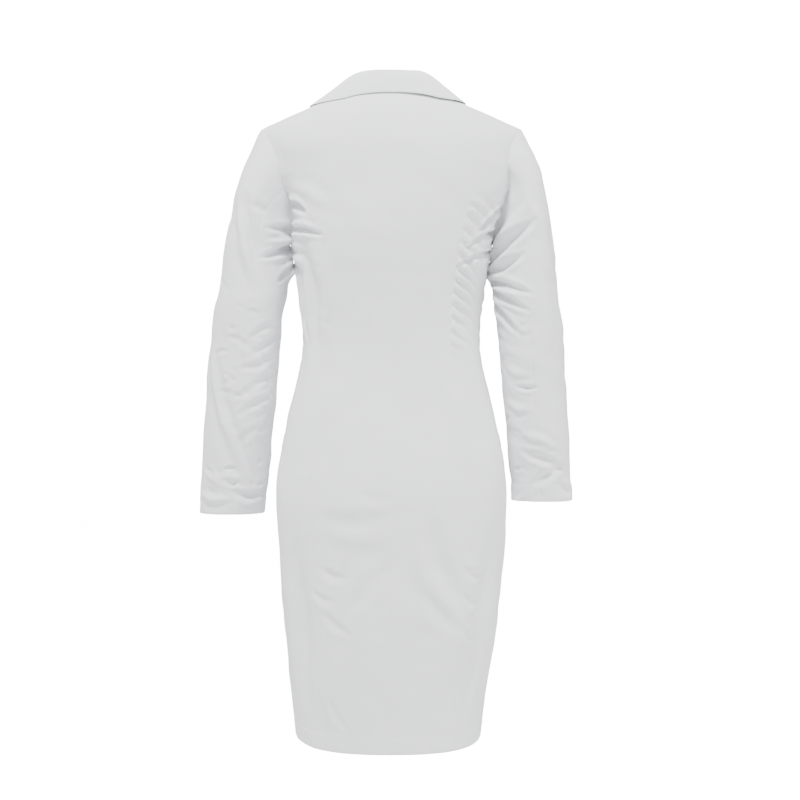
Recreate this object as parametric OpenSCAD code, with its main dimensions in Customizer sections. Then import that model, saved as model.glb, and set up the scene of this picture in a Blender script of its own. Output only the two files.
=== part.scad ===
// Fitted knee-length lab coat with a notched collar, princess seams and two-piece sleeves.
// Frame: +Z up, the front faces -Y, +X is the wearer's left. The origin is the centre of the
// neck opening, level with the neck seam at the centre back. Levels are drops below it.

/* [Lengths] */
// Centre back length, from the neck seam to the hem
coat_len = 957; // [810:1:1150]
// Drop to the base of the shoulder arch, at the blade bones
blade_drop = 110; // [100:1:125]
// Drop to the underarm point
underarm_drop = 215; // [195:1:250]
// Drop to the point where the lapels begin to turn back
break_drop = 330; // [300:1:350]
// Drop to the waist
waist_drop = 368; // [355:1:400]
// Drop to the high hip
high_hip_drop = 480; // [450:1:500]
// Drop to the hip
hip_drop = 605; // [560:1:640]
// Drop to the sleeve hem
cuff_drop = 612; // [540:1:680]

/* [Half widths] */
// Half width of the neck opening at the shoulder seam
neck_half_w = 68; // [58:1:82]
// Half width across the shoulder tips
shoulder_half_w = 195; // [180:1:215]
// Half width that the blade section would have with no armhole
blade_half_w = 180; // [168:1:200]
// Half width at the underarm
chest_half_w = 152; // [135:1:180]
// Half width at the waist
waist_half_w = 133; // [115:1:160]
// Half width at the high hip
high_hip_half_w = 156; // [135:1:180]
// Half width at the hip
hip_half_w = 173; // [150:1:210]
// Half width at the hem
hem_half_w = 139; // [125:1:165]

/* [Depths from the side seams] */
// Back neck point behind the side seams
neck_back = 62; // [52:1:72]
// Back depth at the blades
blade_back = 100; // [90:1:115]
// Front depth at the blades
blade_front = 98; // [90:1:115]
// Back depth at the underarm
chest_back = 103; // [90:1:120]
// Front depth at the underarm
chest_front = 122; // [105:1:135]
// Back depth at the waist
waist_back = 86; // [75:1:105]
// Front depth at the waist
waist_front = 101; // [90:1:115]
// Back depth at the hip
hip_back = 119; // [100:1:135]
// Front depth at the hip
hip_front = 109; // [100:1:120]
// Back depth at the hem
hem_back = 97; // [85:1:115]
// Front depth at the hem
hem_front = 99; // [90:1:115]

/* [Shoulders] */
// Rise of the shoulder seam at the neck, above the back neck point
neck_rise = 9; // [6:1:16]
// Drop of the shoulder tip
shoulder_drop = 45; // [35:1:60]

/* [Sleeves] */
// Distance from the underarm to the sleeve's centre line, at the upper arm
upper_arm_out = 52; // [48:1:73]
// Distance from the side of the hip to the sleeve's centre line, at the sleeve hem
cuff_out = 58; // [47:1:87]
// Half width of the upper arm, seen from the back
upper_arm_half_w = 50; // [44:1:58]
// Half depth of the upper arm, seen from the side
upper_arm_half_d = 58; // [50:1:66]
// Half width of the sleeve hem
cuff_half_w = 46; // [38:1:55]
// Half depth of the sleeve hem
cuff_half_d = 42; // [36:1:52]

/* [Collar and lapels] */
// Height of the collar stand at the centre back
stand_h = 26; // [20:1:34]
// Reach of the collar's outer edge at the centre back, from the side seams
collar_back = 72; // [70:1:84]
// Half width of the collar's outer edge over the shoulders
collar_half_w = 118; // [105:1:135]
// Distance from the centre front to the lapel point
lapel_reach = 108; // [95:1:125]
// Drop to the lapel point
lapel_drop = 75; // [66:1:95]

/* [Front closure] */
// Distance that each front runs past the centre front
front_lap = 18; // [14:1:24]
// Distance from the centre front to the front princess seams, where the fronts fold open
fold_out = 95; // [85:1:105]
// Number of snap fasteners
snap_count = 4; // [3:1:5]
// Distance between snap fasteners
snap_pitch = 110; // [80:1:110]
// Radius of a snap's cap
snap_cap_r = 7; // [6:0.5:9]
// Radius of a snap's stud
stud_r = 2.3; // [1.8:0.1:2.8]

/* [Pockets] */
// Drop to the mouth of the hip pockets
hip_pocket_drop = 500; // [440:1:540]
// Depth of the hip pockets
hip_pocket_h = 155; // [120:1:185]
// Drop to the mouth of the chest pocket
chest_pocket_drop = 178; // [170:1:200]
// Depth of the chest pocket
chest_pocket_h = 95; // [80:1:115]
// Fullness of a pocket in front of the panel behind it
pocket_full = 12; // [8:0.5:14]

/* [Cloth] */
// Thickness of one layer of cloth
cloth_t = 0.8; // [0.6:0.1:1.2]
// Gap between two pieces at a seam, as a share of the cloth's thickness
seam_share = 0.375; // [0.25:0.025:0.625]
// Gap between two layers that lie on each other
layer_gap = 0.2; // [0.1:0.05:0.4]

/* [Loop and labels] */
// Width of the hanger loop between its ends
loop_w = 48; // [36:1:60]
// Drop of the hanger loop
loop_drop = 26; // [22:1:34]
// Width of the loop's tape
loop_tape = 6; // [5:0.5:8]
// Width of the size label
size_label_w = 34; // [24:1:45]
// Height of the size label
size_label_h = 18; // [12:1:30]
// Length of the care label
care_label_l = 45; // [30:1:60]

/* [Hidden] */

// ---- Tables: each row is [drop, value], and at() reads one with a smooth curve ----
half_widths = [
    [blade_drop, blade_half_w], [underarm_drop, chest_half_w], [waist_drop, waist_half_w],
    [high_hip_drop, high_hip_half_w], [hip_drop, hip_half_w], [coat_len, hem_half_w],
];
back_depths = [
    [blade_drop, blade_back], [underarm_drop, chest_back], [waist_drop, waist_back],
    [hip_drop, hip_back], [coat_len, hem_back],
];
front_depths = [
    [blade_drop, blade_front], [underarm_drop, chest_front], [waist_drop, waist_front],
    [hip_drop, hip_front], [coat_len, hem_front],
];

seam_gap = seam_share * cloth_t;
lapel_lift = 1.5;                // between the chest panel and the lapel that lies on it
pocket_lift = 0.5;               // between a panel and a pocket's edge
section_n = 2.25;                // exponent of the oval sections: 2 is an ellipse, more is squarer
blade_arm_angle = 64;            // where the armhole crosses the blade section, from the centre
princess_top_drop = lerp(blade_drop, underarm_drop, 0.3);  // where the princess seams meet it
princess_angle = 39;             // the back princess seams' place around the sections
princess_low_drop = underarm_drop + 20;  // below this the princess seams run straight down
cap_drop = underarm_drop + 85;   // below this the sleeve is a plain tube
back_sleeve_seam = 97;           // angles round the sleeve from its outer line: 90 is the back
front_sleeve_seam = -110;
shoulder_slope = (neck_rise + shoulder_drop) / (shoulder_half_w - neck_half_w);
// The ridge's height over the centre, which puts the back neck point on the origin's level
ridge_rise = blade_drop / sqrt(1 - pow(neck_back / blade_back, 2)) - blade_drop;

snap_flange_r = snap_cap_r - 1.2;     // socket, stud and post
stud_clear = 0.9;                     // round a stud in its socket, for the fronts' swing
snap_room = 4.6;                      // between the two fronts, for a socket and a stud
lap_in = 2 * cloth_t + layer_gap + snap_room;  // how far the left front lies under the right
snap_drops = [for (i = [0:snap_count - 1]) break_drop + 18 + i * snap_pitch];
pin_facets = 32;

function lerp(a, b, t) = a + (b - a) * t;
function clamp01(t) = max(0, min(1, t));
function smooth(t) = let (c = clamp01(t)) c * c * (3 - 2 * c);
function slope_at(T, i) =
    let (a = max(0, i - 1), b = min(len(T) - 1, i + 1)) (T[b][1] - T[a][1]) / (T[b][0] - T[a][0]);
function span_of(T, d, i = 0) = i >= len(T) - 2 || d <= T[i + 1][0] ? i : span_of(T, d, i + 1);
function hermite(p0, m0, p1, m1, t) =
    (2 * t * t * t - 3 * t * t + 1) * p0 + (t * t * t - 2 * t * t + t) * m0 +
    (3 * t * t - 2 * t * t * t) * p1 + (t * t * t - t * t) * m1;
function at(T, d) =
    let (i = span_of(T, d), h = T[i + 1][0] - T[i][0], t = clamp01((d - T[i][0]) / h))
    hermite(T[i][1], h * slope_at(T, i), T[i + 1][1], h * slope_at(T, i + 1), t);

// ---- The body of the coat: oval sections up to the blades, and an arch over the shoulders ----
function half_w(d) = at(half_widths, d);
function depth(d, side) = at(side > 0 ? back_depths : front_depths, d);
function oval(s) = sign(s) * pow(abs(s), 2 / section_n);
// A point of the section at drop d: angle 0 is the centre back or front, 90 the side seam
function ring(angle, d, side) =
    [half_w(d) * oval(sin(angle)), side * depth(d, side) * oval(cos(angle)), -d];
function angle_of(x, d) = sign(x) * asin(min(1, pow(abs(x) / half_w(d), section_n / 2)));

// The height of the shoulder ridge at x
function ridge(x) = abs(x) < neck_half_w
    ? lerp(ridge_rise, neck_rise, pow(x / neck_half_w, 2))
    : neck_rise - shoulder_slope * (abs(x) - neck_half_w);

blade_arm_x = ring(blade_arm_angle, blade_drop, 1)[0];
function arm_x(theta) = lerp(blade_arm_x, shoulder_half_w, pow(sin(theta), 1.3));
function roll_x(d) = lerp(-front_lap, neck_half_w - 6, clamp01((break_drop - d) / (break_drop + 8)));
// Inner edge of the chest panels in the arch: the lapel's roll line, up to the neck
function chest_in_x(theta) = lerp(roll_x(blade_drop), neck_half_w, pow(sin(theta), 1.2));
function inner_x(theta, side) = side > 0 ? 0 : chest_in_x(theta);

// A point of the arch over the column that stands at this angle in the blade section
function arch(angle, theta, side) =
    let (
        base = ring(angle, blade_drop, side),
        lo = inner_x(0, side),
        s = (base[0] - lo) / (blade_arm_x - lo),
        x = lerp(inner_x(theta, side), arm_x(theta), s)
    ) [x, base[1] * cos(theta), -blade_drop + (ridge(x) + blade_drop) * sin(theta)];

// How far up the arch a back column runs: to the neck seam, or to the shoulder seam
function arch_top(angle) =
    let (
        base = ring(angle, blade_drop, 1),
        share = base[0] / blade_arm_x * shoulder_half_w / neck_half_w,
        seam = acos(seam_gap / blade_back)
    ) share >= 1 ? seam : min(seam, acos(neck_back * sqrt(1 - share * share) / base[1]));

// The depth of the front's surface at x and drop d
function front_y(x, d) = d >= blade_drop
    ? -depth(d, -1) * pow(max(0, 1 - pow(abs(x) / half_w(d), section_n)), 1 / section_n)
    : let (
        theta = asin(min(1, (blade_drop - d) / (ridge(x) + blade_drop))),
        lo = inner_x(0, -1),
        s = (x - inner_x(theta, -1)) / (arm_x(theta) - inner_x(theta, -1)),
        base_x = lerp(lo, blade_arm_x, s)
    ) -blade_front * cos(theta)
        * pow(max(0, 1 - pow(abs(base_x) / blade_half_w, section_n)), 1 / section_n);

// The height of the shoulders under a point of the collar's outer edge
function shoulder_z(x, y) =
    let (reach = (y > 0 ? blade_back : blade_front)
        * pow(1 - pow(abs(x) / (shoulder_half_w + 5), section_n), 1 / section_n))
    -blade_drop + (ridge(x) + blade_drop) * sqrt(max(0, 1 - pow(y / reach, 2)));

// Armhole: its angle round the section at drop d, from the underarm point up to the blades
function arm_angle(d) = d >= underarm_drop ? 90
    : 90 - (90 - blade_arm_angle) * sqrt((underarm_drop - d) / (underarm_drop - blade_drop));
function princess(d, low) =
    let (top = arm_angle(princess_top_drop),
        t = clamp01((princess_low_drop - d) / (princess_low_drop - princess_top_drop)))
    lerp(low, top, t * t);
back_seam = function(d) princess(d, princess_angle);
front_seam = function(d) princess(d, angle_of(fold_out, max(d, princess_low_drop)));

// ---- Cloth: a grid of points, rows up and columns round, becomes a thin closed solid ----
function turned(G) = [for (row = G) [for (j = [len(row) - 1:-1:0]) row[j]]];
function unit(v) = v / norm(v);
function normal_at(G, i, j) =
    let (
        r = len(G) - 1, c = len(G[0]) - 1,
        up = G[min(r, i + 1)][j] - G[max(0, i - 1)][j],
        along = G[i][min(c, j + 1)] - G[i][max(0, j - 1)]
    ) unit(cross(up, along));
function raised(G, by) =
    [for (i = [0:len(G) - 1]) [for (j = [0:len(G[0]) - 1]) G[i][j] + by * normal_at(G, i, j)]];
function flat(G) = [for (row = G, p = row) p];
function part_of(G, i0, i1, j0, j1) = [for (i = [i0:i1]) [for (j = [j0:j1]) G[i][j]]];

// The two triangles of a grid's cell, whose first corner is a; flip takes the other diagonal
function cell(a, w, flip) = flip
    ? [[a, a + 1, a + w], [a + 1, a + w + 1, a + w]]
    : [[a, a + 1, a + w + 1], [a, a + w + 1, a + w]];
function reversed(F) = [for (f = F) [f[0], f[2], f[1]]];

// The solid between two grids of the same size; the first lies on the outer side. The cells
// of the first columns, as many as flips, take the other diagonal
module between(outer, inner, flips = 0) {
    r = len(outer) - 1;
    c = len(outer[0]) - 1;
    w = c + 1;
    m = (r + 1) * w;
    faces = concat(
        [for (i = [0:r - 1], j = [0:c - 1]) each cell(i * w + j, w, j < flips)],
        [for (i = [0:r - 1], j = [0:c - 1]) each reversed(cell(m + i * w + j, w, j < flips))],
        [for (j = [0:c - 1], e = [[j, 0], [r * w + j, 1]]) each
            e[1] == 0 ? [[e[0], m + e[0], m + e[0] + 1], [e[0], m + e[0] + 1, e[0] + 1]]
                      : [[e[0], m + e[0] + 1, m + e[0]], [e[0], e[0] + 1, m + e[0] + 1]]],
        [for (i = [0:r - 1], e = [[i * w, 0], [i * w + c, 1]]) each
            e[1] == 0 ? [[e[0], m + e[0] + w, m + e[0]], [e[0], e[0] + w, m + e[0] + w]]
                      : [[e[0], m + e[0], m + e[0] + w], [e[0], m + e[0] + w, e[0] + w]]]
    );
    polyhedron(concat(flat(outer), flat(inner)), faces, convexity = 10);
}

// Cloth from a grid, its outer face raised by out and its thickness t
module cloth(G, out = 0, t = cloth_t, flips = 0) {
    between(raised(G, out), raised(G, out - t), flips);
}

// A half degree or less at the panel edges, which leaves the seam gap between neighbours
function edge(d) = seam_gap / 2 / half_w(d) * 180 / PI;
function steps(a, b, n) = [for (i = [0:n]) lerp(a, b, i / n)];

// Rows of a panel between two seams, at these drops. Neighbours share their drops, so that
// both sides of a seam follow the same line
function panel_rows(lo, hi, drops, side, cols) = [for (d = drops)
    [for (j = [0:cols]) ring(lerp(lo(d) + edge(d), hi(d) - edge(d), j / cols), d, side)]];
side_top = princess_top_drop + 8;       // where the side panels end in a point
skirt_drops = steps(coat_len, break_drop, 14);
chest_drops = steps(break_drop, side_top, 6);
back_drops = steps(coat_len, side_top, 20);
arm_drops = [princess_top_drop, princess_top_drop - 12, blade_drop + 8];
function but_first(L) = [for (i = [1:len(L) - 1]) L[i]];
function but_last(L) = [for (i = [0:len(L) - 2]) L[i]];

// ---- Back panels ----
centre = function(d) 0;
back_out = function(d) d > princess_top_drop ? back_seam(d) : arm_angle(d);
function back_centre_grid() =
    let (cols = 7, last = arm_angle(blade_drop) - edge(blade_drop))
    concat(
        panel_rows(centre, back_out, concat(back_drops, arm_drops), 1, cols),
        [for (k = steps(0, 1, 7)) [for (j = [0:cols])
            let (a = lerp(edge(blade_drop), last, j / cols)) arch(a, k * arch_top(a), 1)]]
    );
module back_centre() color("whitesmoke") cloth(back_centre_grid());

side_seam = function(d) arm_angle(d);
module back_side() color("whitesmoke")
    cloth(panel_rows(back_seam, side_seam, back_drops, 1, 5));

// The facing lies under the top rows and the inner columns of both back panels
module back_neck_facing() {
    rows = len(back_centre_grid());
    half = part_of(back_centre_grid(), rows - 4, rows - 1, 0, 4);
    both = [for (row = half) concat(
        [for (j = [len(row) - 1:-1:0]) [-row[j][0], row[j][1], row[j][2]]], row)];
    color("whitesmoke") cloth(both, out = -cloth_t - 2 * layer_gap, flips = len(half[0]));
}

// ---- Front panels: the left one lies under the right one at the centre front ----
function lap_share(p) = smooth((fold_out - 20 - p[0]) / (fold_out - 20 - front_lap))
    * smooth((-p[2] - break_drop + 140) / 60);
function lapped(G, lap) =
    [for (i = [0:len(G) - 1]) [for (j = [0:len(G[0]) - 1])
        let (p = G[i][j]) [p[0], p[1] + lap * lap_share(p), p[2]]]];
edge_angle = function(d) angle_of(roll_x(d), d);
chest_out = function(d) d > princess_top_drop ? front_seam(d) : arm_angle(d);

module front_chest(lap) {
    cols = 7;
    lo = edge_angle(blade_drop) + edge(blade_drop);
    hi = arm_angle(blade_drop) - edge(blade_drop);
    drops = concat([break_drop - seam_gap], but_first(chest_drops), arm_drops);
    rows = concat(
        panel_rows(edge_angle, chest_out, drops, -1, cols),
        [for (k = steps(0, 1, 6)) [for (j = [0:cols])
            arch(lerp(lo, hi, j / cols), k * acos(seam_gap / blade_front), -1)]]
    );
    color("whitesmoke") cloth(turned(lapped(rows, lap)));
}

function front_skirt_grid(lap) = lapped(
    panel_rows(edge_angle, front_seam, concat(but_last(skirt_drops), [break_drop + seam_gap]),
        -1, 7), lap);
module front_skirt(lap) color("whitesmoke") cloth(turned(front_skirt_grid(lap)));

module front_side() color("whitesmoke") cloth(turned(
    panel_rows(front_seam, side_seam, concat(skirt_drops, but_first(chest_drops)), -1, 5)));

// The facing lies under the front's edge, over the same rows and its first columns
module facing(lap) color("whitesmoke")
    cloth(turned(part_of(front_skirt_grid(lap), 0, 14, 0, 3)), out = -cloth_t - layer_gap);

// A lapel is the front's edge turned back along the roll line, two layers thick
// A point of the roll line, [x, drop]: share 0 is the break, 1 is near the neck
roll_share = 0.6;                // the part of the roll line below the blades
function roll_at(v) = v < roll_share
    ? let (d = lerp(break_drop, blade_drop, v / roll_share)) [roll_x(d), d]
    : let (theta = 62 * (v - roll_share) / (1 - roll_share), x = chest_in_x(theta))
      [x, blade_drop - (ridge(x) + blade_drop) * sin(theta)];
module lapel(lap) {
    rows = [for (v = steps(0.04, 1, 11)) [for (f = steps(0, 1, 7))
        let (
            roll = roll_at(v),
            x1 = lerp(-front_lap, lapel_reach, pow(v, 0.85)),
            x = lerp(roll[0], max(x1, roll[0] + 4), f),
            d = lerp(roll[1], lerp(break_drop, lapel_drop, v), f)
        ) [x + 1, front_y(x + 1, d), -d]]];
    color("white") cloth(turned(lapped(rows, lap)), out = 2 * cloth_t + lapel_lift, t = 2 * cloth_t);
}

// ---- Collar: a band from the neck seam up, over the roll and down to its outer edge ----
collar_end = 118;                // angle round the neck where the collar meets the lapels
function collar_grid() = [for (tau = steps(0, 1, 8)) [for (a = steps(-collar_end, collar_end, 16))
    let (
        front = smooth((abs(a) - 60) / (collar_end - 60)),
        side = smooth((abs(a) - 30) / 50),
        wing = smooth((abs(a) - 90) / (collar_end - 90)),
        seam_y = cos(a) * (cos(a) > 0 ? neck_back : neck_back * 0.95),
        seam_x = neck_half_w * sin(a),
        out_x = collar_half_w * sin(a),
        out_y = cos(a) * (cos(a) > 0 ? collar_back : collar_back * 1.85),
        seam_z = lerp(1.8, neck_rise + 3, pow(sin(min(90, abs(a))), 2)) - 2 * front,
        out_z = shoulder_z(out_x, out_y) + 7.5 - 4 * side + 4.5 * wing,
        rise = stand_h * (1.3 - 0.55 * side - 0.2 * wing),
        back = unit([out_x - seam_x, out_y - seam_y, 0]),
        p0 = [seam_x, seam_y, seam_z],
        p3 = [out_x, out_y, out_z],
        p1 = p0 + [0, 0, rise] - 5 * back,
        p2 = lerp(p0, p3, lerp(0.45, 0.35, front)) + [0, 0, (1.35 - 0.9 * side + 0.3 * wing) * rise]
    ) pow(1 - tau, 3) * p0 + 3 * tau * pow(1 - tau, 2) * p1
        + 3 * tau * tau * (1 - tau) * p2 + pow(tau, 3) * p3]];
lining_t = cloth_t / 2;
module upper_collar() color("white") cloth(collar_grid(), out = 0);
module collar_interlining() color("snow")
    cloth(collar_grid(), out = layer_gap + lining_t, t = lining_t);
module under_collar() color("white")
    cloth(collar_grid(), out = 2 * layer_gap + lining_t + cloth_t);

// ---- Pockets: their edges lie on the panel, and the middle stands off it ----
function full_grid(G) =
    let (r = len(G) - 1, c = len(G[0]) - 1)
    [for (i = [0:r]) [for (j = [0:c])
        G[i][j] + normal_at(G, i, j) * (pocket_lift + cloth_t + (pocket_full - cloth_t)
            * pow(sin(180 * j / c), 0.8) * sin(20 + 70 * pow(i / r, 0.8)) * (i == 0 ? 0 : 1))]];

module pocket(lo, hi, mouth, h, side_clear) {
    G = turned([for (d = steps(mouth + h, mouth, 8)) [for (j = [0:8])
        ring(lerp(lo(d) + side_clear, hi(d) - side_clear, j / 8), d, -1)]]);
    color("white") cloth(full_grid(G));
}
chest_pocket_in = function(d) 25;
chest_pocket_out = function(d) 61;
module hip_pocket() pocket(front_seam, side_seam, hip_pocket_drop, hip_pocket_h, 2);
module chest_pocket() pocket(chest_pocket_in, chest_pocket_out, chest_pocket_drop,
    chest_pocket_h, 0);

// ---- Sleeves ----
function sleeve_x(d) = lerp(chest_half_w + upper_arm_out, hip_half_w + cuff_out,
    pow((d - cap_drop) / (cuff_drop - cap_drop), 0.8));
function sleeve_y(d) = -14 * pow(clamp01((d - cap_drop) / (cuff_drop - cap_drop)), 1.6);
function sleeve_ring(a, d) =
    let (t = (d - cap_drop) / (cuff_drop - cap_drop))
    [sleeve_x(d) + lerp(upper_arm_half_w, cuff_half_w, t * t) * cos(a),
     sleeve_y(d) + lerp(upper_arm_half_d, cuff_half_d, t) * sin(a), -d];

// The armhole as the sleeve sees it: 0 is the shoulder tip, 180 the underarm, 90 the back
arch_share = 0.45;               // the part of the half turn that lies above the blades
function armhole(a) =
    let (q = abs(a) / 180, side = a < 0 ? -1 : 1)
    q <= arch_share
        ? let (p = arch(blade_arm_angle, 90 * (1 - q / arch_share), side)) p
        : let (angle = lerp(blade_arm_angle, 90, (q - arch_share) / (1 - arch_share)),
            t = pow((90 - angle) / (90 - blade_arm_angle), 2))
          ring(angle, lerp(underarm_drop, blade_drop, t), side);

cap_clear = 2.5;                 // between the sleeve's top edge and the armhole
function cap_point(a, v) =
    let (
        side = a > 180 ? a - 360 : a,
        start = armhole(side) + [cap_clear, 0, -cap_clear * (1 - cos(side)) / 2],
        finish = sleeve_ring(side, cap_drop),
        out = max(cos(side), 0),
        under = min(cos(side), 0),
        leave = [0.8 - 0.3 * out * out - 0.65 * under * under, 0.25 * sin(side),
            -0.55 - 0.32 * out * out - 0.45 * under * under],
        reach = norm(finish - start)
    ) hermite(start, reach * leave, finish, reach * [0.12, 0, -1], v);

function sleeve_grid(a0, a1, cols) =
    let (gap = seam_gap / upper_arm_half_w * 90 / PI)
    concat(
        [for (v = steps(0, 0.86, 6)) [for (a = steps(a0 + gap, a1 - gap, cols)) cap_point(a, v)]],
        [for (d = steps(cap_drop, cuff_drop, 9))
            [for (a = steps(a0 + gap, a1 - gap, cols)) sleeve_ring(a, d)]]
    );
module upper_sleeve() color("whitesmoke")
    cloth(sleeve_grid(front_sleeve_seam, back_sleeve_seam, 12));
module under_sleeve() color("whitesmoke")
    cloth(sleeve_grid(back_sleeve_seam, 360 + front_sleeve_seam, 9));

// ---- Hanger loop: a tape sewn in at both ends of the back neck ----
loop_t = 1.2;
loop_y = neck_back * sqrt(1 - pow(loop_w / 2 / neck_half_w, 2)) - 6;
module hanger_loop() color("white") translate([0, loop_y, -4]) rotate([90, 0, 0])
    linear_extrude(loop_t, center = true) difference() {
        union() {
            translate([-loop_w / 2, -loop_drop / 2]) square([loop_w, loop_drop / 2]);
            translate([0, -loop_drop / 2]) scale_round(loop_w / 2, loop_drop / 2);
        }
        union() {
            translate([-loop_w / 2 + loop_tape, -loop_drop / 2])
                square([loop_w - 2 * loop_tape, loop_drop]);
            translate([0, -loop_drop / 2])
                scale_round(loop_w / 2 - loop_tape, loop_drop / 2 - loop_tape);
        }
    }
// The lower half of an oval, as a polygon
module scale_round(rx, ry) polygon([for (a = [180:10:360]) [rx * cos(a), ry * sin(a)]]);

// ---- Labels: blank tapes, each hanging from the edge it is sewn in by ----
label_t = 0.4;
module size_label() color("ghostwhite")
    translate([-size_label_w / 2, loop_y + 4.5, -4 - size_label_h])
        cube([size_label_w, label_t, size_label_h]);
module care_label() color("ghostwhite")
    translate([half_w(high_hip_drop) - cloth_t - 26, -label_t / 2, -high_hip_drop - care_label_l])
        cube([25, label_t, care_label_l]);

// ---- Snap fasteners: cap and socket on the right front, stud and post on the left ----
// They stand on the flat strip between two rows of the skirt panels
function strip_y(d) =
    let (
        h = skirt_drops[0] - skirt_drops[1],
        hi = break_drop + h * floor((d - break_drop) / h)
    ) lerp(front_y(0, hi), front_y(0, hi + h), (d - hi) / h);
module on_front(d) translate([0, strip_y(d), -d]) rotate([90, 0, 0]) children();
function ring_profile(r0, r1, z0, z1) = [[r0, z0], [r1, z0], [r1, z1], [r0, z1]];
function under_right() = -2 * cloth_t - layer_gap;      // inner face of the right facing
prong_r = snap_flange_r - 1.6;
prong_t = 0.5;
flange_t = 0.8;
socket_h = 2.2;
seat_gap = 0.65;                 // between a socket and the sloping cloth above it

module snap_cap() rotate_extrude($fn = pin_facets) union() {
    polygon([[0, 0.5], [snap_cap_r, 0.5], [snap_cap_r, 1.5], [snap_cap_r - 0.9, 2.3], [0, 2.7]]);
    polygon(ring_profile(prong_r - prong_t, prong_r, under_right() - 0.3, 1));
}
module snap_caps() color("ivory") for (d = snap_drops) on_front(d) snap_cap();

module snap_socket() rotate_extrude($fn = pin_facets)
    polygon(ring_profile(stud_r + stud_clear, snap_flange_r, under_right() - seat_gap - socket_h,
        under_right() - seat_gap));
module snap_sockets() color("silver") for (d = snap_drops) on_front(d) snap_socket();

stud_base = -lap_in + 0.4;                              // just off the left front's outer face
module snap_stud() rotate_extrude($fn = pin_facets) union() {
    polygon(ring_profile(0, snap_flange_r, stud_base, stud_base + flange_t));
    polygon(ring_profile(0, stud_r, stud_base, under_right() - 0.5));
}
module snap_studs() color("silver") for (d = snap_drops) on_front(d) snap_stud();

post_face = -lap_in - 2 * cloth_t - layer_gap;
module snap_post() rotate_extrude($fn = pin_facets) union() {
    polygon(ring_profile(1.5, snap_flange_r, post_face - 0.4 - flange_t, post_face - 0.4));
    polygon(ring_profile(prong_r - prong_t, prong_r, post_face - 0.8, stud_base - 0.2));
}
module snap_posts() color("silver") for (d = snap_drops) on_front(d) snap_post();

module right() mirror([1, 0, 0]) children();

back_centre();  // back_centre_left
right() back_centre();  // back_centre_right
back_side();  // back_side_left
right() back_side();  // back_side_right
front_side();  // front_side_left
right() front_side();  // front_side_right
front_chest(lap_in);  // front_chest_left
right() front_chest(0);  // front_chest_right
lapel(lap_in);  // lapel_left
right() lapel(0);  // lapel_right
upper_collar();
collar_interlining();
under_collar();
back_neck_facing();
hip_pocket();  // hip_pocket_left
right() hip_pocket();  // hip_pocket_right
chest_pocket();
size_label();
care_label();
hanger_loop();
right() front_skirt(0);  // front_skirt_right
right() facing(0);  // facing_right
snap_caps();
snap_sockets();
front_skirt(lap_in);  // front_skirt_left
facing(lap_in);  // facing_left
snap_studs();
snap_posts();
upper_sleeve();  // upper_sleeve_left
under_sleeve();  // under_sleeve_left
right() upper_sleeve();  // upper_sleeve_right
right() under_sleeve();  // under_sleeve_right
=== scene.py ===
"""A fitted lab coat: panels of white twill on curved body sections, two-piece sleeves and a
turned-down collar, each a thin closed shell with folds, seams, hems and stitching.

Lengths are in metres. +Z is up, the front faces -Y and +X is the wearer's left. A drop is a
distance below the back neck seam. Side is +1 for the back of the coat and -1 for its front.
"""
import logging
import math
from dataclasses import dataclass
from enum import Enum
from typing import Callable, Sequence

import bpy
import numpy as np
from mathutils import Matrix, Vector


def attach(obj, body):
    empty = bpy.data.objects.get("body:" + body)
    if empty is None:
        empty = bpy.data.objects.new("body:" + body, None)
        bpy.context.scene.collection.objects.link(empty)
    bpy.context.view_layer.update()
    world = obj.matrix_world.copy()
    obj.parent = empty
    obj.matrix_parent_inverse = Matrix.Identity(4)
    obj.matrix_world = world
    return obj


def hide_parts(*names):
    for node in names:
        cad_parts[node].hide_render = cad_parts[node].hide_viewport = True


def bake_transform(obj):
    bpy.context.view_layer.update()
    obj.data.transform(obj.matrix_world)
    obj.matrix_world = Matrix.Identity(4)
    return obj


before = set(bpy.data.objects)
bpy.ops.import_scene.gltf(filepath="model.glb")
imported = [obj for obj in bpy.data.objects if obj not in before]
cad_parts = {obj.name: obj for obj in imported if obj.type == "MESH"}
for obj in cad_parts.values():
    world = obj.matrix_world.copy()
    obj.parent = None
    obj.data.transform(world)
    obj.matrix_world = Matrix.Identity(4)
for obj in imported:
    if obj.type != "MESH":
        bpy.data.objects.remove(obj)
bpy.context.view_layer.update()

Array = np.ndarray
Values = float | Array  # a number, or one for each point
Input = bpy.types.NodeSocket | float | None
LOG = logging.getLogger("lab_coat")
MM = 0.001

HEM_DEEP = 0.025        # the turned-up hems of panels and sleeves
EDGE_STITCH = 0.006     # topstitching, from a free edge
NARROW_STITCH = 0.004   # stitching at a facing's inner edge
POCKET_STITCH = 0.0025  # stitching round a pocket
POCKET_HEM = 0.022
SEAM_DENT = 1.8 * MM    # half width of the groove at a seam
PUCKER_PITCH = 0.0085   # between two puckers along a seam
PUCKER_REACH = 0.006    # from the seam
GIRTH = 0.14            # cloth for each radian round the body
STEP_GIRTH = 0.12       # the same, for spacing a panel's columns
SLEEVE_RADIUS = 0.05    # cloth for each radian round a sleeve
SHOULDER_GAP = 0.0006   # radians of the arch left open at the shoulder and neck seams
FACING_IN = 1.3 * MM    # from the front's face back to its facing's


class Hand(Enum):
    """Which of the wearer's hands a piece belongs to; the value is the sign of its X."""

    LEFT = 1
    RIGHT = -1

    @property
    def word(self) -> str:
        """The ending of this hand's node and body names."""
        return self.name.lower()


# ---------------------------------------------------------------- small maths


def lerp(a: Values, b: Values, t: Values) -> Values:
    """Straight mix of a and b.

    Args: a, b: numbers or arrays; t: share of b.
    Returns: a at 0 and b at 1.
    """
    return a + (b - a) * t


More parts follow.
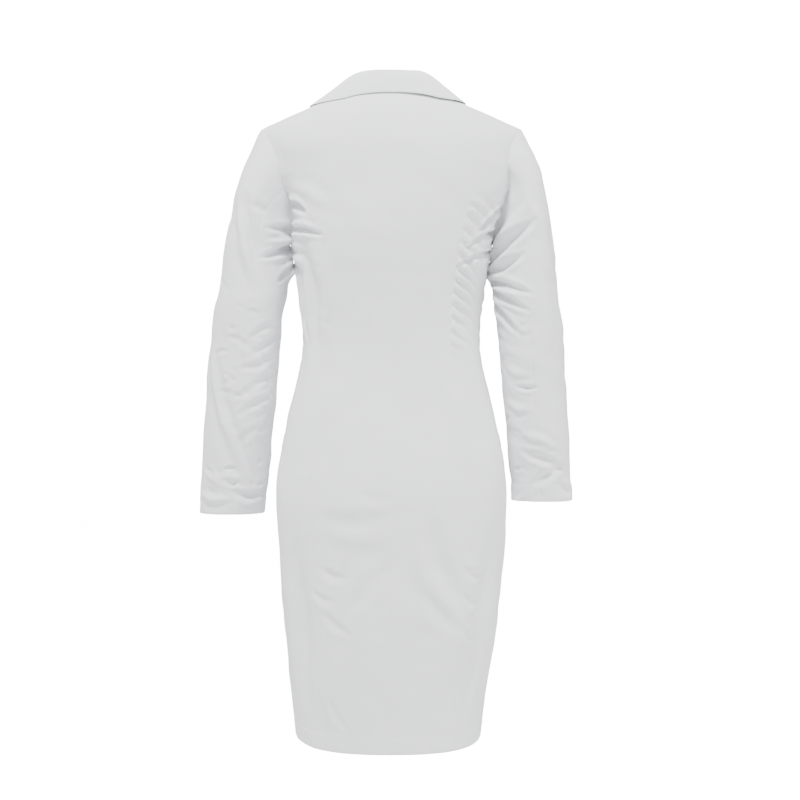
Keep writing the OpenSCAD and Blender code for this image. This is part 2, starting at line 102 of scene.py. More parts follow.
def smooth(t: Values) -> Array:
    """Smooth step: 3t^2 - 2t^3 with t held between 0 and 1.

    Args: t: number or array.
    Returns: array from 0 to 1.
    """
    c = np.clip(t, 0.0, 1.0)
    return c * c * (3 - 2 * c)


def hermite(p0: Values, m0: Values, p1: Values, m1: Values, t: Values) -> Values:
    """Cubic that leaves p0 along m0 and reaches p1 along m1.

    Args: p0, m0, p1, m1: ends and slopes; t: share of the way.
    Returns: the point at t.
    """
    t2, t3 = t * t, t * t * t
    return (2 * t3 - 3 * t2 + 1) * p0 + (t3 - 2 * t2 + t) * m0 + (3 * t2 - 2 * t3) * p1 + (t3 - t2) * m1


def curve(rows: Sequence[tuple[float, float]], d: Values) -> Array:
    """Smooth curve through the rows: a cubic for each span, its slopes from the rows either side.

    Args: rows: (drop, value) pairs in order; d: drops.
    Returns: values at d.
    """
    x, v = (np.array(c, float) for c in zip(*rows))
    lo = np.maximum(np.arange(len(x)) - 1, 0)
    hi = np.minimum(np.arange(len(x)) + 1, len(x) - 1)
    slope = (v[hi] - v[lo]) / (x[hi] - x[lo])
    i = np.clip(np.searchsorted(x, d, side="right") - 1, 0, len(x) - 2)
    h = x[i + 1] - x[i]
    t = np.clip((d - x[i]) / h, 0, 1)
    return hermite(v[i], h * slope[i], v[i + 1], h * slope[i + 1], t)


def unit(v: Array) -> Array:
    """Vectors of length 1.

    Args: v: vectors along the last axis.
    Returns: the same directions.
    """
    return v / np.maximum(np.linalg.norm(v, axis=-1, keepdims=True), 1e-12)


def grid_normals(p: Array) -> Array:
    """Normals of a grid surface: the cross product of its two central differences.

    Args: p: points, rows by columns by 3.
    Returns: unit normals, one for each point.
    """
    return unit(np.cross(np.gradient(p, axis=0), np.gradient(p, axis=1)))


def lengths(p: Array, axis: int) -> Array:
    """Distance travelled along one axis of a grid: the running sum of its steps.

    Args: p: points, rows by columns by 3; axis: 0 up the rows, 1 along a row.
    Returns: distance at each point.
    """
    step = np.linalg.norm(np.diff(p, axis=axis), axis=-1)
    pad = [(0, 0), (0, 0)]
    pad[axis] = (1, 0)
    return np.cumsum(np.pad(step, pad), axis=axis)


def nearest(p: Array, line: Array) -> Array:
    """Distance from each point to the nearest point of a line.

    Args: p: points along the last axis; line: n by 3.
    Returns: distances.
    """
    flat = p.reshape(-1, 3)
    gap = (flat**2).sum(1)[:, None] + (line**2).sum(1)[None, :] - 2 * flat @ line.T
    return np.sqrt(np.maximum(gap.min(1), 0)).reshape(p.shape[:-1])


def waves(u: Array, v: Array, size: float, seed: int, stretch: float = 1.0, count: int = 22) -> Array:
    """Soft seeded noise: a sum of sine waves in random directions, about 1 at its largest.

    Args: u, v: coordinates; size: shortest wavelength; seed: of the draw;
        stretch: how much longer the waves are along u; count: number of waves.
    Returns: heights.
    """
    rng = np.random.default_rng(seed)
    out = np.zeros(np.broadcast(u, v).shape)
    for angle, length, phase in zip(
        rng.uniform(0, math.pi, count), size * rng.uniform(1, 2.6, count), rng.uniform(0, 2 * math.pi, count)
    ):
        out += np.sin(2 * math.pi * (u / stretch * math.cos(angle) + v * math.sin(angle)) / length + phase)
    return out / (0.5 * math.sqrt(count) * 2.2)


# ---------------------------------------------------------------- the coat's block


@dataclass(frozen=True)
class Block:
    """The body block: oval sections below the blades, an arch over the shoulders above."""

    coat_len: float = 0.957
    blade_drop: float = 0.110
    underarm_drop: float = 0.215
    break_drop: float = 0.330
    neck_half_w: float = 0.068
    shoulder_half_w: float = 0.195
    neck_back: float = 0.062
    neck_rise: float = 0.009
    shoulder_drop: float = 0.045
    front_lap: float = 0.018
    fold_out: float = 0.095
    section_n: float = 2.25
    blade_arm: float = math.radians(64)
    back_princess: float = math.radians(39)
    lap_in: float = 0.0064
    half_widths: tuple = (
        (0.110, 0.180), (0.215, 0.152), (0.368, 0.133), (0.480, 0.156), (0.605, 0.173), (0.957, 0.139))
    back_depths: tuple = ((0.110, 0.100), (0.215, 0.103), (0.368, 0.086), (0.605, 0.119), (0.957, 0.097))
    front_depths: tuple = ((0.110, 0.098), (0.215, 0.122), (0.368, 0.101), (0.605, 0.109), (0.957, 0.099))

    def half_w(self, d: Values) -> Array:
        """Half width of the section at drop d."""
        return curve(self.half_widths, d)

    def depth(self, d: Values, side: int) -> Array:
        """Depth of the section at drop d, from the side seams to the back or the front."""
        return curve(self.back_depths if side > 0 else self.front_depths, d)

    def oval(self, s: Values) -> Array:
        """Rounding of the sections: the power 2/n of the size of s, with its sign."""
        return np.sign(s) * np.abs(s) ** (2 / self.section_n)

    def ring(self, angle: Values, d: Values, side: int) -> Array:
        """Point of the section at drop d: half width times oval(sin), depth times oval(cos).

        Args: angle: from the centre back or front to the side seam; d: drop; side: back or front.
        Returns: points.
        """
        x = self.half_w(d) * self.oval(np.sin(angle))
        y = side * self.depth(d, side) * self.oval(np.cos(angle))
        return np.stack(np.broadcast_arrays(x, y, -np.asarray(d, float)), -1)

    def angle_of(self, x: Values, d: Values) -> Array:
        """Angle of the section's point at x, the reverse of ring()."""
        share = np.minimum(1, np.abs(x) / self.half_w(d)) ** (self.section_n / 2)
        return np.sign(x) * np.arcsin(share)

    @property
    def princess_top(self) -> float:
        """Drop at which the princess seams meet the armhole."""
        return lerp(self.blade_drop, self.underarm_drop, 0.3)

    @property
    def ridge_rise(self) -> float:
        """Height of the shoulder ridge over the centre, which puts the neck seam at drop 0."""
        return self.blade_drop / math.sqrt(1 - (self.neck_back / 0.100) ** 2) - self.blade_drop

    def ridge(self, x: Values) -> Array:
        """Height of the shoulder ridge: a parabola over the neck, then a straight slope.

        Args: x: position across.
        Returns: heights.
        """
        slope = (self.neck_rise + self.shoulder_drop) / (self.shoulder_half_w - self.neck_half_w)
        inner = lerp(self.ridge_rise, self.neck_rise, (x / self.neck_half_w) ** 2)
        outer = self.neck_rise - slope * (np.abs(x) - self.neck_half_w)
        return np.where(np.abs(x) < self.neck_half_w, inner, outer)

    def arm_angle(self, d: Values) -> Array:
        """Angle of the armhole at drop d: a parabola from the underarm up to the blades."""
        rise = np.clip((self.underarm_drop - d) / (self.underarm_drop - self.blade_drop), 0, 1)
        return math.pi / 2 - (math.pi / 2 - self.blade_arm) * np.sqrt(rise)

    @property
    def princess_foot(self) -> float:
        """Drop below which the princess seams run straight down."""
        return self.underarm_drop + 0.020

    def princess(self, d: Values, low: Values) -> Array:
        """Angle of a princess seam: low below its foot, curving out to the armhole above.

        Args: d: drop; low: angle below the foot.
        Returns: angles.
        """
        foot = self.princess_foot
        t = np.clip((foot - d) / (foot - self.princess_top), 0, 1)
        return lerp(low, float(self.arm_angle(self.princess_top)), t * t)

    def back_seam(self, d: Values) -> Array:
        """Angle of the back princess seam."""
        return self.princess(d, self.back_princess)

    def front_seam(self, d: Values) -> Array:
        """Angle of the front princess seam."""
        return self.princess(d, self.angle_of(self.fold_out, np.maximum(d, self.princess_foot)))

    def back_edge(self, d: Values) -> Array:
        """Angle of the back panel's outer edge: the princess seam, then the armhole."""
        return np.where(d > self.princess_top, self.back_seam(d), self.arm_angle(d))

    def front_edge(self, d: Values) -> Array:
        """Angle of the front panel's outer edge: the princess seam, then the armhole."""
        return np.where(d > self.princess_top, self.front_seam(d), self.arm_angle(d))

    def roll_angle(self, d: Values) -> Array:
        """Angle of the front's inner edge."""
        return self.angle_of(self.roll_x(d), d)

    def roll_x(self, d: Values) -> Array:
        """X of the front's edge: the overlap below the break, the lapel's roll line above it."""
        t = np.clip((self.break_drop - d) / (self.break_drop + 0.008), 0, 1)
        return lerp(-self.front_lap, self.neck_half_w - 0.006, t)

    def inner_x(self, theta: Values, side: int) -> Array:
        """X of the inner edge in the arch: 0 at the back, the roll line at the front.

        Args: theta: angle up the arch; side: back or front.
        Returns: positions across.
        """
        if side > 0:
            return np.zeros_like(np.asarray(theta, float))
        return lerp(self.roll_x(self.blade_drop), self.neck_half_w, np.sin(theta) ** 1.2)

    @property
    def blade_arm_x(self) -> float:
        """X of the armhole at the blades."""
        return float(self.ring(self.blade_arm, self.blade_drop, 1)[0])

    def arch(self, angle: Values, theta: Values, side: int) -> Array:
        """Point of the arch: the blade section's point swung up and over towards the ridge.

        Its depth falls with cos(theta), its height rises with sin(theta), and its X moves out
        in proportion between the inner edge and the armhole.
        Args: angle: column in the blade section; theta: 0 at the blades, 90 degrees on the ridge;
            side: back or front.
        Returns: points.
        """
        base = self.ring(angle, self.blade_drop, side)
        start = self.inner_x(0.0, side)
        s = (base[..., 0] - start) / (self.blade_arm_x - start)
        arm = lerp(self.blade_arm_x, self.shoulder_half_w, np.sin(theta) ** 1.3)
        x = lerp(self.inner_x(theta, side), arm, s)
        z = -self.blade_drop + (self.ridge(x) + self.blade_drop) * np.sin(theta)
        return np.stack(np.broadcast_arrays(x, base[..., 1] * np.cos(theta), z), -1)

    def arch_top(self, angle: Values) -> Array:
        """How far up the arch a back column runs: to the neck seam, or to the shoulder seam.

        Args: angle: column in the blade section.
        Returns: angles up the arch.
        """
        base = self.ring(angle, self.blade_drop, 1)
        share = base[..., 0] / self.blade_arm_x * self.shoulder_half_w / self.neck_half_w
        reach = self.neck_back * np.sqrt(np.clip(1 - share**2, 0, 1)) / base[..., 1]
        return np.arccos(np.clip(reach, 0, 1))

    def front_y(self, x: Values, d: Values) -> Array:
        """Y of the front's surface at x and drop d, from the section or the arch.

        Args: x: position across; d: drop.
        Returns: positions.
        """
        x = np.asarray(x, float)
        inside = 1 - (np.abs(x) / self.half_w(d)) ** self.section_n
        low = -self.depth(d, -1) * np.clip(inside, 0, 1) ** (1 / self.section_n)
        theta = np.arcsin(np.clip((self.blade_drop - d) / (self.ridge(x) + self.blade_drop), 0, 1))
        lo = float(self.inner_x(0.0, -1))
        arm = lerp(self.blade_arm_x, self.shoulder_half_w, np.sin(theta) ** 1.3)
        s = (x - self.inner_x(theta, -1)) / (arm - self.inner_x(theta, -1))
        base = lerp(lo, self.blade_arm_x, s)
        width = self.half_w(self.blade_drop)
        high = -self.depth(self.blade_drop, -1) * np.cos(theta) * np.clip(
            1 - (np.abs(base) / width) ** self.section_n, 0, 1) ** (1 / self.section_n)
        return np.where(d >= self.blade_drop, low, high)

    def shoulder_z(self, x: Values, y: Values) -> Array:
        """Height of the shoulders under the point x, y.

        Args: x, y: positions across and from front to back.
        Returns: heights.
        """
        reach = np.where(y > 0, self.depth(self.blade_drop, 1), self.depth(self.blade_drop, -1)) * (
            1 - (np.abs(x) / (self.shoulder_half_w + 0.005)) ** self.section_n) ** (1 / self.section_n)
        up = np.sqrt(np.clip(1 - (y / reach) ** 2, 0, 1))
        return -self.blade_drop + (self.ridge(x) + self.blade_drop) * up

    def hung(self, p: Array) -> Array:
        """The skirt as it hangs: its hem swings to the wearer's left and lifts at both sides.

        Args: p: points.
        Returns: moved points.
        """
        d = -p[..., 2]
        side = np.clip(np.abs(p[..., 0]) / 0.139, 0, 1) ** 6
        out = p.copy()
        out[..., 0] += 0.0045 * smooth((d - 0.76) / 0.16)
        out[..., 2] += 0.008 * smooth((d - 0.84) / 0.117) * side
        return out

    def pulled(self, p: Array) -> Array:
        """The back of both armholes as the sleeves pull on them, body and sleeve alike.

        The right armhole is drawn outwards and the left one inwards, and along both the
        cloth sinks into a valley. It depends on the place alone, so seams stay closed.
        Args: p: points of both hands.
        Returns: moved points.
        """
        out = p.copy()
        back = smooth((p[..., 1] + 0.005) / 0.035)
        for x, d, wide, tall, shift in ARMHOLE_PULLS:
            bell = np.exp(-(((p[..., 0] - x) / wide) ** 2) - ((p[..., 2] + d) / tall) ** 2)
            out[..., 0] += shift * back * bell
        for places, deep, wide in ARMHOLE_VALLEYS:
            knots = np.array(places)
            steps = np.arange(len(knots))
            t = np.linspace(0, len(knots) - 1, 60)
            line = np.stack([np.interp(t, steps, knots[:, k]) for k in (0, 1)], -1)
            size = deep * np.interp(t, steps, knots[:, 2])
            flat = np.stack([out[..., 0], -out[..., 2]], -1).reshape(-1, 2)
            gap = ((flat[:, None, :] - line[None]) ** 2).sum(-1)
            best = gap.argmin(1)
            near = np.exp(-gap[np.arange(len(flat)), best] / wide**2) * size[best]
            out[..., 1] -= back * near.reshape(p.shape[:-1])
        return out

    def lapped(self, p: Array) -> Array:
        """The left front, moved back by the lap where it lies under the right front.

        Args: p: points.
        Returns: moved points.
        """
        share = smooth((self.fold_out - 0.020 - p[..., 0]) / (self.fold_out - 0.020 - self.front_lap))
        share = share * smooth((-p[..., 2] - self.break_drop + 0.140) / 0.060)
        out = p.copy()
        out[..., 1] += self.lap_in * share
        return out


# ---------------------------------------------------------------- folds in the cloth


@dataclass(frozen=True)
class Fold:
    """One soft fold: a ridge along a path with a shallow valley on each side.

    The path's points are (across, drop). A negative height is a crease.
    """

    path: tuple
    height: float
    width: float
    valley: float = 0.45

    def raise_by(self, u: Array, v: Array) -> Array:
        """Height of the fold: a bell across the path, fading towards the path's ends.

        Args: u, v: coordinates of the cloth's points.
        Returns: heights.
        """
        pts = np.array(self.path, float)
        out = np.zeros(u.shape)
        reach = 4 * self.width
        near = ((u > pts[:, 0].min() - reach) & (u < pts[:, 0].max() + reach)
                & (v > pts[:, 1].min() - reach) & (v < pts[:, 1].max() + reach))
        if not near.any():
            return out
        q = np.stack([u[near], v[near]], -1)
        seg = np.diff(pts, axis=0)
        size = np.linalg.norm(seg, axis=1)
        start = np.concatenate([[0], np.cumsum(size)[:-1]])
        best = np.full(len(q), 1e9)
        along = np.zeros(len(q))
        for a, s, n, before in zip(pts[:-1], seg, size, start):
            t = np.clip(((q - a) @ s) / (n * n), 0, 1)
            gap = np.linalg.norm(q - a - t[:, None] * s, axis=1)
            closer = gap < best
            best = np.where(closer, gap, best)
            along = np.where(closer, before + t * n, along)
        share = along / size.sum()
        fade = np.clip(np.sin(math.pi * np.clip(share, 0.03, 0.97)), 0, 1) ** 0.8
        w = self.width * (0.6 + 0.4 * fade)
        bell = np.exp(-(best / w) ** 2) - self.valley * np.exp(-((best - 1.75 * w) / w) ** 2)
        out[near] = self.height * fade * bell
        return out


@dataclass(frozen=True)
class Ladder:
    """A row of short puckers that cross a seam's side, as when the seam is sewn tight."""

    line: tuple
    reach: float
    pitch: float
    height: float
    tilt: float
    seed: int

    def raise_by(self, u: Array, v: Array) -> Array:
        """Height of the puckers: sharpened waves along the line, dying away from it.

        Args: u, v: coordinates of the cloth's points.
        Returns: heights.
        """
        (u0, v0), (u1, v1) = self.line
        t = (v - v0) / (v1 - v0)
        off = (u - lerp(u0, u1, np.clip(t, 0, 1))) * np.sign(self.reach)
        body = smooth(t / 0.12) * smooth((1 - t) / 0.12)
        fade = smooth((off + 0.004) / 0.010) * smooth((abs(self.reach) - off) / abs(self.reach))
        warp = 0.55 * waves(u, v, 0.05, self.seed)
        phase = 2 * math.pi * ((v - self.tilt * off) / self.pitch) + 2.2 * warp
        ridge = 0.45 - (0.5 + 0.5 * np.sin(phase)) ** 2.6
        size = 0.65 + 0.35 * waves(u, v, 0.09, self.seed + 1)
        return self.height * body * fade * ridge * size


@dataclass(frozen=True)
class FoldField:
    """All the folds of one stretch of cloth, over softly uneven ground."""

    folds: tuple
    ground: float = 0.0006
    ground_size: float = 0.075
    seed: int = 3

    def height(self, u: Array, v: Array) -> Array:
        """Sum of the folds and of two sizes of soft noise.

        Args: u, v: coordinates of the cloth's points.
        Returns: heights.
        """
        out = self.ground * waves(u, v, self.ground_size, self.seed, 1.3)
        out += 0.35 * self.ground * waves(u, v, self.ground_size * 0.32, self.seed + 7, 1.2)
        for fold in self.folds:
            out += fold.raise_by(u, v)
        return out


# Where each sleeve shifts its armhole: x, drop, half width, half height and shift outwards
ARMHOLE_PULLS = ((-0.160, 0.135, 0.026, 0.040, -0.013), (0.152, 0.172, 0.022, 0.034, -0.010))
# Valleys along the backs of the armholes: places as x, drop and share of the depth
RIGHT_VALLEY = (
    (-0.172, 0.105, 0.0), (-0.171, 0.135, 0.7), (-0.163, 0.170, 1.0),
    (-0.154, 0.215, 1.0), (-0.149, 0.255, 0.0))
LEFT_VALLEY = (
    (0.156, 0.120, 0.0), (0.148, 0.160, 0.9), (0.149, 0.195, 1.0), (0.151, 0.230, 1.0), (0.149, 0.265, 0.0))
# Each with its depth and half width
ARMHOLE_VALLEYS = ((RIGHT_VALLEY, 0.0125, 0.0070), (LEFT_VALLEY, 0.0120, 0.0065))


def back_at(block: Block, x: float, d: float) -> tuple[float, float]:
    """Cloth coordinates of a place on the back.

    Args: block: the body block; x: position across, +X is the wearer's left; d: drop.
    Returns: (across, drop).
    """
    return GIRTH * float(block.angle_of(x, max(d, block.blade_drop))), d


# ---------------------------------------------------------------- cloth pieces


@dataclass
class Edge:
    """How one edge of a piece ends: sewn into a seam, hemmed, or free with a turned edge."""

    seam: float = 0.45
    hem: float = 0.0
    stitch: float = 0.0


@dataclass
class ClothPiece:
    """A cut piece of cloth on its grid, before it becomes a closed shell.

    Attributes:
        name: the object's name.
        p: outer points, rows up by columns along.
        u, v: cloth coordinates of the points, for the folds.
        edges: left, right, bottom and top edge.
        flat, area, held: its flat size, its area and how it is held.
        away: directions out of the worn side, or None for away from the body's axis.
    """

    name: str
    p: Array
    u: Array
    v: Array
    edges: dict
    thickness: float = 0.9 * MM
    flat: tuple = (0.1, 0.1)
    area: float = 0.01
    held: str = "hung"
    away: Array | None = None

    def sense(self) -> float:
        """1 where the grid's own normals face the worn side, -1 where they face in.

        The worn side is away from the body's axis, or along the piece's own directions.
        """
        away = self.p * np.array([1.0, 1.0, 0.0]) if self.away is None else self.away
        return float(np.sign((grid_normals(self.p) * away).sum()))

    def distances(self) -> dict:
        """Distance of each point from each of the four edges, along the cloth."""
        across, up = lengths(self.p, 1), lengths(self.p, 0)
        return {"left": across, "right": across[:, -1:] - across, "bottom": up, "top": up[-1:] - up}

    def measure(self) -> None:
        """Takes the flat size from the smooth cloth: its longest row and column, and its area."""
        across, up = lengths(self.p, 1)[:, -1], lengths(self.p, 0)[-1]
        a = np.diff(self.p, axis=0)[:, :-1]
        b = np.diff(self.p, axis=1)[:-1]
        self.area = float(np.linalg.norm(np.cross(a, b), axis=-1).sum())
        width, length = float(across.max()), float(up.max())
        self.area = min(max(self.area, 0.31 * width * length), width * length)
        self.flat = (width, length)

    def dress(self, fold_field: FoldField, calm: Array | float = 1.0, hold: Array | float = 1.0) -> None:
        """Raises the folds, sinks the seams and thickens the hems, all along the normals.

        A seam sinks by a bell of its distance and puckers in short waves beside it. A hem
        stands proud up to its stitch line. A free edge rounds off.
        Args: fold_field: the folds; calm: share of the folds that is kept at each point;
            hold: share of every offset that is kept, 0 where two pieces meet at an angle.
        """
        self.measure()
        normal = grid_normals(self.p) * self.sense()
        off = calm * fold_field.height(self.u, self.v)
        run = {"left": self.v, "right": self.v, "bottom": self.u, "top": self.u}
        for where, dist in self.distances().items():
            edge = self.edges[where]
            if edge.seam > 0:
                off = off - edge.seam * MM * np.exp(-((dist / SEAM_DENT) ** 2))
                drift = 2 * waves(run[where], 0 * run[where], 0.03, 5)
                pucker = np.sin(2 * math.pi * (run[where] / PUCKER_PITCH) + drift)
                fade = np.exp(-((dist / PUCKER_REACH) ** 2))
                off = off + 0.22 * edge.seam * MM * fade * pucker * smooth(dist / 0.0015)
            if edge.hem > 0:
                off = off + 0.5 * MM * smooth((edge.hem + 0.0008 - dist) / 0.0016)
                tug = 0.5 + 0.5 * waves(run[where], dist, 0.02, 11)
                off = off - 0.4 * MM * tug * np.exp(-(((dist - edge.hem) / 0.0022) ** 2))
                off = off - 0.7 * MM * np.exp(-((dist / 0.0012) ** 2))
            if edge.stitch > 0:
                off = off - 0.25 * MM * np.exp(-(((dist - edge.stitch) / 0.0012) ** 2))
                off = off - 0.5 * MM * np.exp(-((dist / 0.001) ** 2))
        self.p = self.p + normal * (off * hold)[..., None]

    def stitching(self) -> tuple[Array, Array]:
        """Distance from the nearest row of stitches, and place along it.

        Returns: (across, along) for each point; across is large where there is no row.
        """
        across = np.full(self.u.shape, 0.02)
        along = np.zeros(self.u.shape)
        d = self.distances()
        run = {"left": d["bottom"], "right": d["bottom"], "bottom": d["left"], "top": d["left"]}
        for where, dist in d.items():
            line = self.edges[where].hem or self.edges[where].stitch
            if line > 0:
                gap = np.abs(dist - line)
                closer = gap < across
                across = np.where(closer, gap, across)
                along = np.where(closer, run[where], along)
        return across, along

    def build(self, material: bpy.types.Material) -> bpy.types.Object:
        """Makes the closed shell: outer grid, inner grid and the rim between them.

        Args: material: the finish.
        Returns: the new object, at the origin.
        """
        rows, cols = self.p.shape[:2]
        sense = self.sense()
        inner = self.p - grid_normals(self.p) * sense * self.thickness
        points = np.concatenate([self.p.reshape(-1, 3), inner.reshape(-1, 3)])
        i = np.arange(rows * cols).reshape(rows, cols)
        m = rows * cols
        quad = np.stack([i[:-1, :-1], i[:-1, 1:], i[1:, 1:], i[1:, :-1]], -1).reshape(-1, 4)
        ring = np.concatenate([i[0, :-1], i[:-1, -1], i[-1, :0:-1], i[:0:-1, 0]])
        after = np.roll(ring, -1)
        rim = np.stack([ring, ring + m, after + m, after], -1)
        faces = np.concatenate([quad[:, ::-1], quad + m, rim[:, ::-1]])
        mesh = mesh_from(self.name, points, faces if sense > 0 else faces[:, ::-1])
        uv = np.stack([lengths(self.p, 1), lengths(self.p, 0)], -1).reshape(-1, 2)
        put_uv(mesh, np.concatenate([uv, uv]))
        for label, values in zip(("stitch_across", "stitch_along"), self.stitching()):
            put_values(mesh, label, np.concatenate([values.ravel(), values.ravel()]))
        mesh.materials.append(material)
        mesh.set_sharp_from_angle(angle=math.radians(50))
        obj = bpy.data.objects.new(self.name, mesh)
        bpy.context.scene.collection.objects.link(obj)
        return obj


def mesh_from(name: str, points: Array, faces: Array) -> bpy.types.Mesh:
    """A mesh from whole arrays, smooth shaded.

    Args: name: the mesh's name; points: n by 3; faces: m by 4 indices.
    Returns: the mesh.
    """
    mesh = bpy.data.meshes.new(name)
    mesh.vertices.add(len(points))
    mesh.vertices.foreach_set("co", points.astype(np.float32).ravel())
    mesh.loops.add(faces.size)
    mesh.loops.foreach_set("vertex_index", faces.astype(np.int32).ravel())
    mesh.polygons.add(len(faces))
    mesh.polygons.foreach_set("loop_start", np.arange(0, faces.size, faces.shape[1], dtype=np.int32))
    mesh.update(calc_edges=True)
    mesh.polygons.foreach_set("use_smooth", np.ones(len(faces), dtype=bool))
    mesh.validate()
    return mesh


def put_uv(mesh: bpy.types.Mesh, uv: Array) -> None:
    """Writes a UV map, in metres of cloth.

    Args: mesh: the mesh; uv: one pair for each vertex.
    """
    index = np.zeros(len(mesh.loops), np.int32)
    mesh.loops.foreach_get("vertex_index", index)
    layer = mesh.uv_layers.new(name="UVMap")
    layer.data.foreach_set("uv", uv[index].astype(np.float32).ravel())


def put_values(mesh: bpy.types.Mesh, name: str, values: Array) -> None:
    """Writes one number for each vertex as a named attribute."""
    layer = mesh.attributes.new(name, "FLOAT", "POINT")
    layer.data.foreach_set("value", values.astype(np.float32).ravel())


# ---------------------------------------------------------------- finishes


def new_group(name: str, inputs: dict, outputs: Sequence[str]) -> bpy.types.ShaderNodeTree:
    """An empty shader node group with float or vector inputs and float outputs.

    Args: name: the group's name; inputs: name to default, a vector where it is None;
        outputs: names of the float outputs.
    Returns: the group, with its input and output nodes in place.
    """
    group = bpy.data.node_groups.new(name, "ShaderNodeTree")
    for label, value in inputs.items():
        kind = "NodeSocketVector" if value is None else "NodeSocketFloat"
        socket = group.interface.new_socket(name=label, in_out="INPUT", socket_type=kind)
        if value is not None:
            socket.default_value = value
    for label in outputs:
        group.interface.new_socket(name=label, in_out="OUTPUT", socket_type="NodeSocketFloat")
    group.nodes.new("NodeGroupInput")
    group.nodes.new("NodeGroupOutput")
    return group


def math_node(tree: bpy.types.NodeTree, operation: str, a: Input, b: Input = None) -> bpy.types.NodeSocket:
    """Adds a Math node and links or sets its inputs.

    Args: tree: the node tree; operation: its name; a, b: sockets or numbers.
    Returns: its output socket.
    """
    node = tree.nodes.new("ShaderNodeMath")
    node.operation = operation
    for i, value in enumerate((a, b)):
        if isinstance(value, bpy.types.NodeSocket):
            tree.links.new(value, node.inputs[i])
        elif value is not None:
            node.inputs[i].default_value = value
    return node.outputs[0]


class Effects:
    """Node groups that several finishes share."""

    def __init__(self) -> None:
        """Builds each group once."""
        self.twill = self._twill()
        self.mottle = self._mottle()
        self.stitches = self._stitches()

    def _twill(self) -> bpy.types.ShaderNodeTree:
        """Diagonal ribs crossed by single yarns: the sum of two sine waves on the cloth.

        Returns: the group.
        """
        g = new_group("Twill weave", {"Cloth": None, "Pitch": 0.001}, ["Height"])
        given, out = g.nodes["Group Input"], g.nodes["Group Output"]
        split = g.nodes.new("ShaderNodeSeparateXYZ")
        g.links.new(given.outputs["Cloth"], split.inputs[0])
        x = math_node(g, "DIVIDE", split.outputs[0], given.outputs["Pitch"])
        y = math_node(g, "DIVIDE", split.outputs[1], given.outputs["Pitch"])
        diagonal = math_node(g, "ADD", x, y)
        rib = math_node(g, "SINE", math_node(g, "MULTIPLY", diagonal, 2 * math.pi))
        yarn = math_node(g, "SINE", math_node(g, "MULTIPLY", y, 4 * math.pi))
        g.links.new(math_node(g, "ADD", rib, math_node(g, "MULTIPLY", yarn, 0.35)), out.inputs[0])
        return g

    def _mottle(self) -> bpy.types.ShaderNodeTree:
        """Faint unevenness of dyed cloth: large and small noise, from 0 to 1.

        Returns: the group.
        """
        g = new_group("Cloth mottle", {"Cloth": None, "Scale": 9.0}, ["Mask"])
        given, out = g.nodes["Group Input"], g.nodes["Group Output"]
        noise = g.nodes.new("ShaderNodeTexNoise")
        noise.inputs["Detail"].default_value = 6
        noise.inputs["Roughness"].default_value = 0.6
        g.links.new(given.outputs["Cloth"], noise.inputs["Vector"])
        g.links.new(given.outputs["Scale"], noise.inputs["Scale"])
        g.links.new(noise.outputs[0], out.inputs[0])
        return g

    def _stitches(self) -> bpy.types.ShaderNodeTree:
        """A row of lockstitches: ovals where the across distance and the along wave are small.

        Returns: the group.
        """
        g = new_group("Stitch row", {"Across": 0.02, "Along": 0.0, "Pitch": 0.003}, ["Mask"])
        given, out = g.nodes["Group Input"], g.nodes["Group Output"]
        place = math_node(g, "FRACT", math_node(g, "DIVIDE", given.outputs["Along"], given.outputs["Pitch"]))
        from_mid = math_node(g, "ABSOLUTE", math_node(g, "SUBTRACT", place, 0.5))
        end = math_node(g, "SUBTRACT", 1.0, math_node(g, "MULTIPLY", from_mid, 2.3))
        side = math_node(g, "SUBTRACT", 1.0, math_node(g, "DIVIDE", given.outputs["Across"], 0.0005))
        mask = math_node(g, "MULTIPLY", math_node(g, "MAXIMUM", end, 0.0), math_node(g, "MAXIMUM", side, 0.0))
        g.links.new(math_node(g, "MINIMUM", math_node(g, "MULTIPLY", mask, 3.0), 1.0), out.inputs[0])
        return g


def use_group(tree: bpy.types.NodeTree, group: bpy.types.NodeTree, **inputs: Input) -> bpy.types.Node:
    """Places a group and links or sets its inputs.

    Args: tree: the material's tree; group: the group; inputs: sockets or numbers by name.
    Returns: the group's node.
    """
    node = tree.nodes.new("ShaderNodeGroup")
    node.node_tree = group
    for label, value in inputs.items():
        if isinstance(value, bpy.types.NodeSocket):
            tree.links.new(value, node.inputs[label])
        else:
            node.inputs[label].default_value = value
    return node


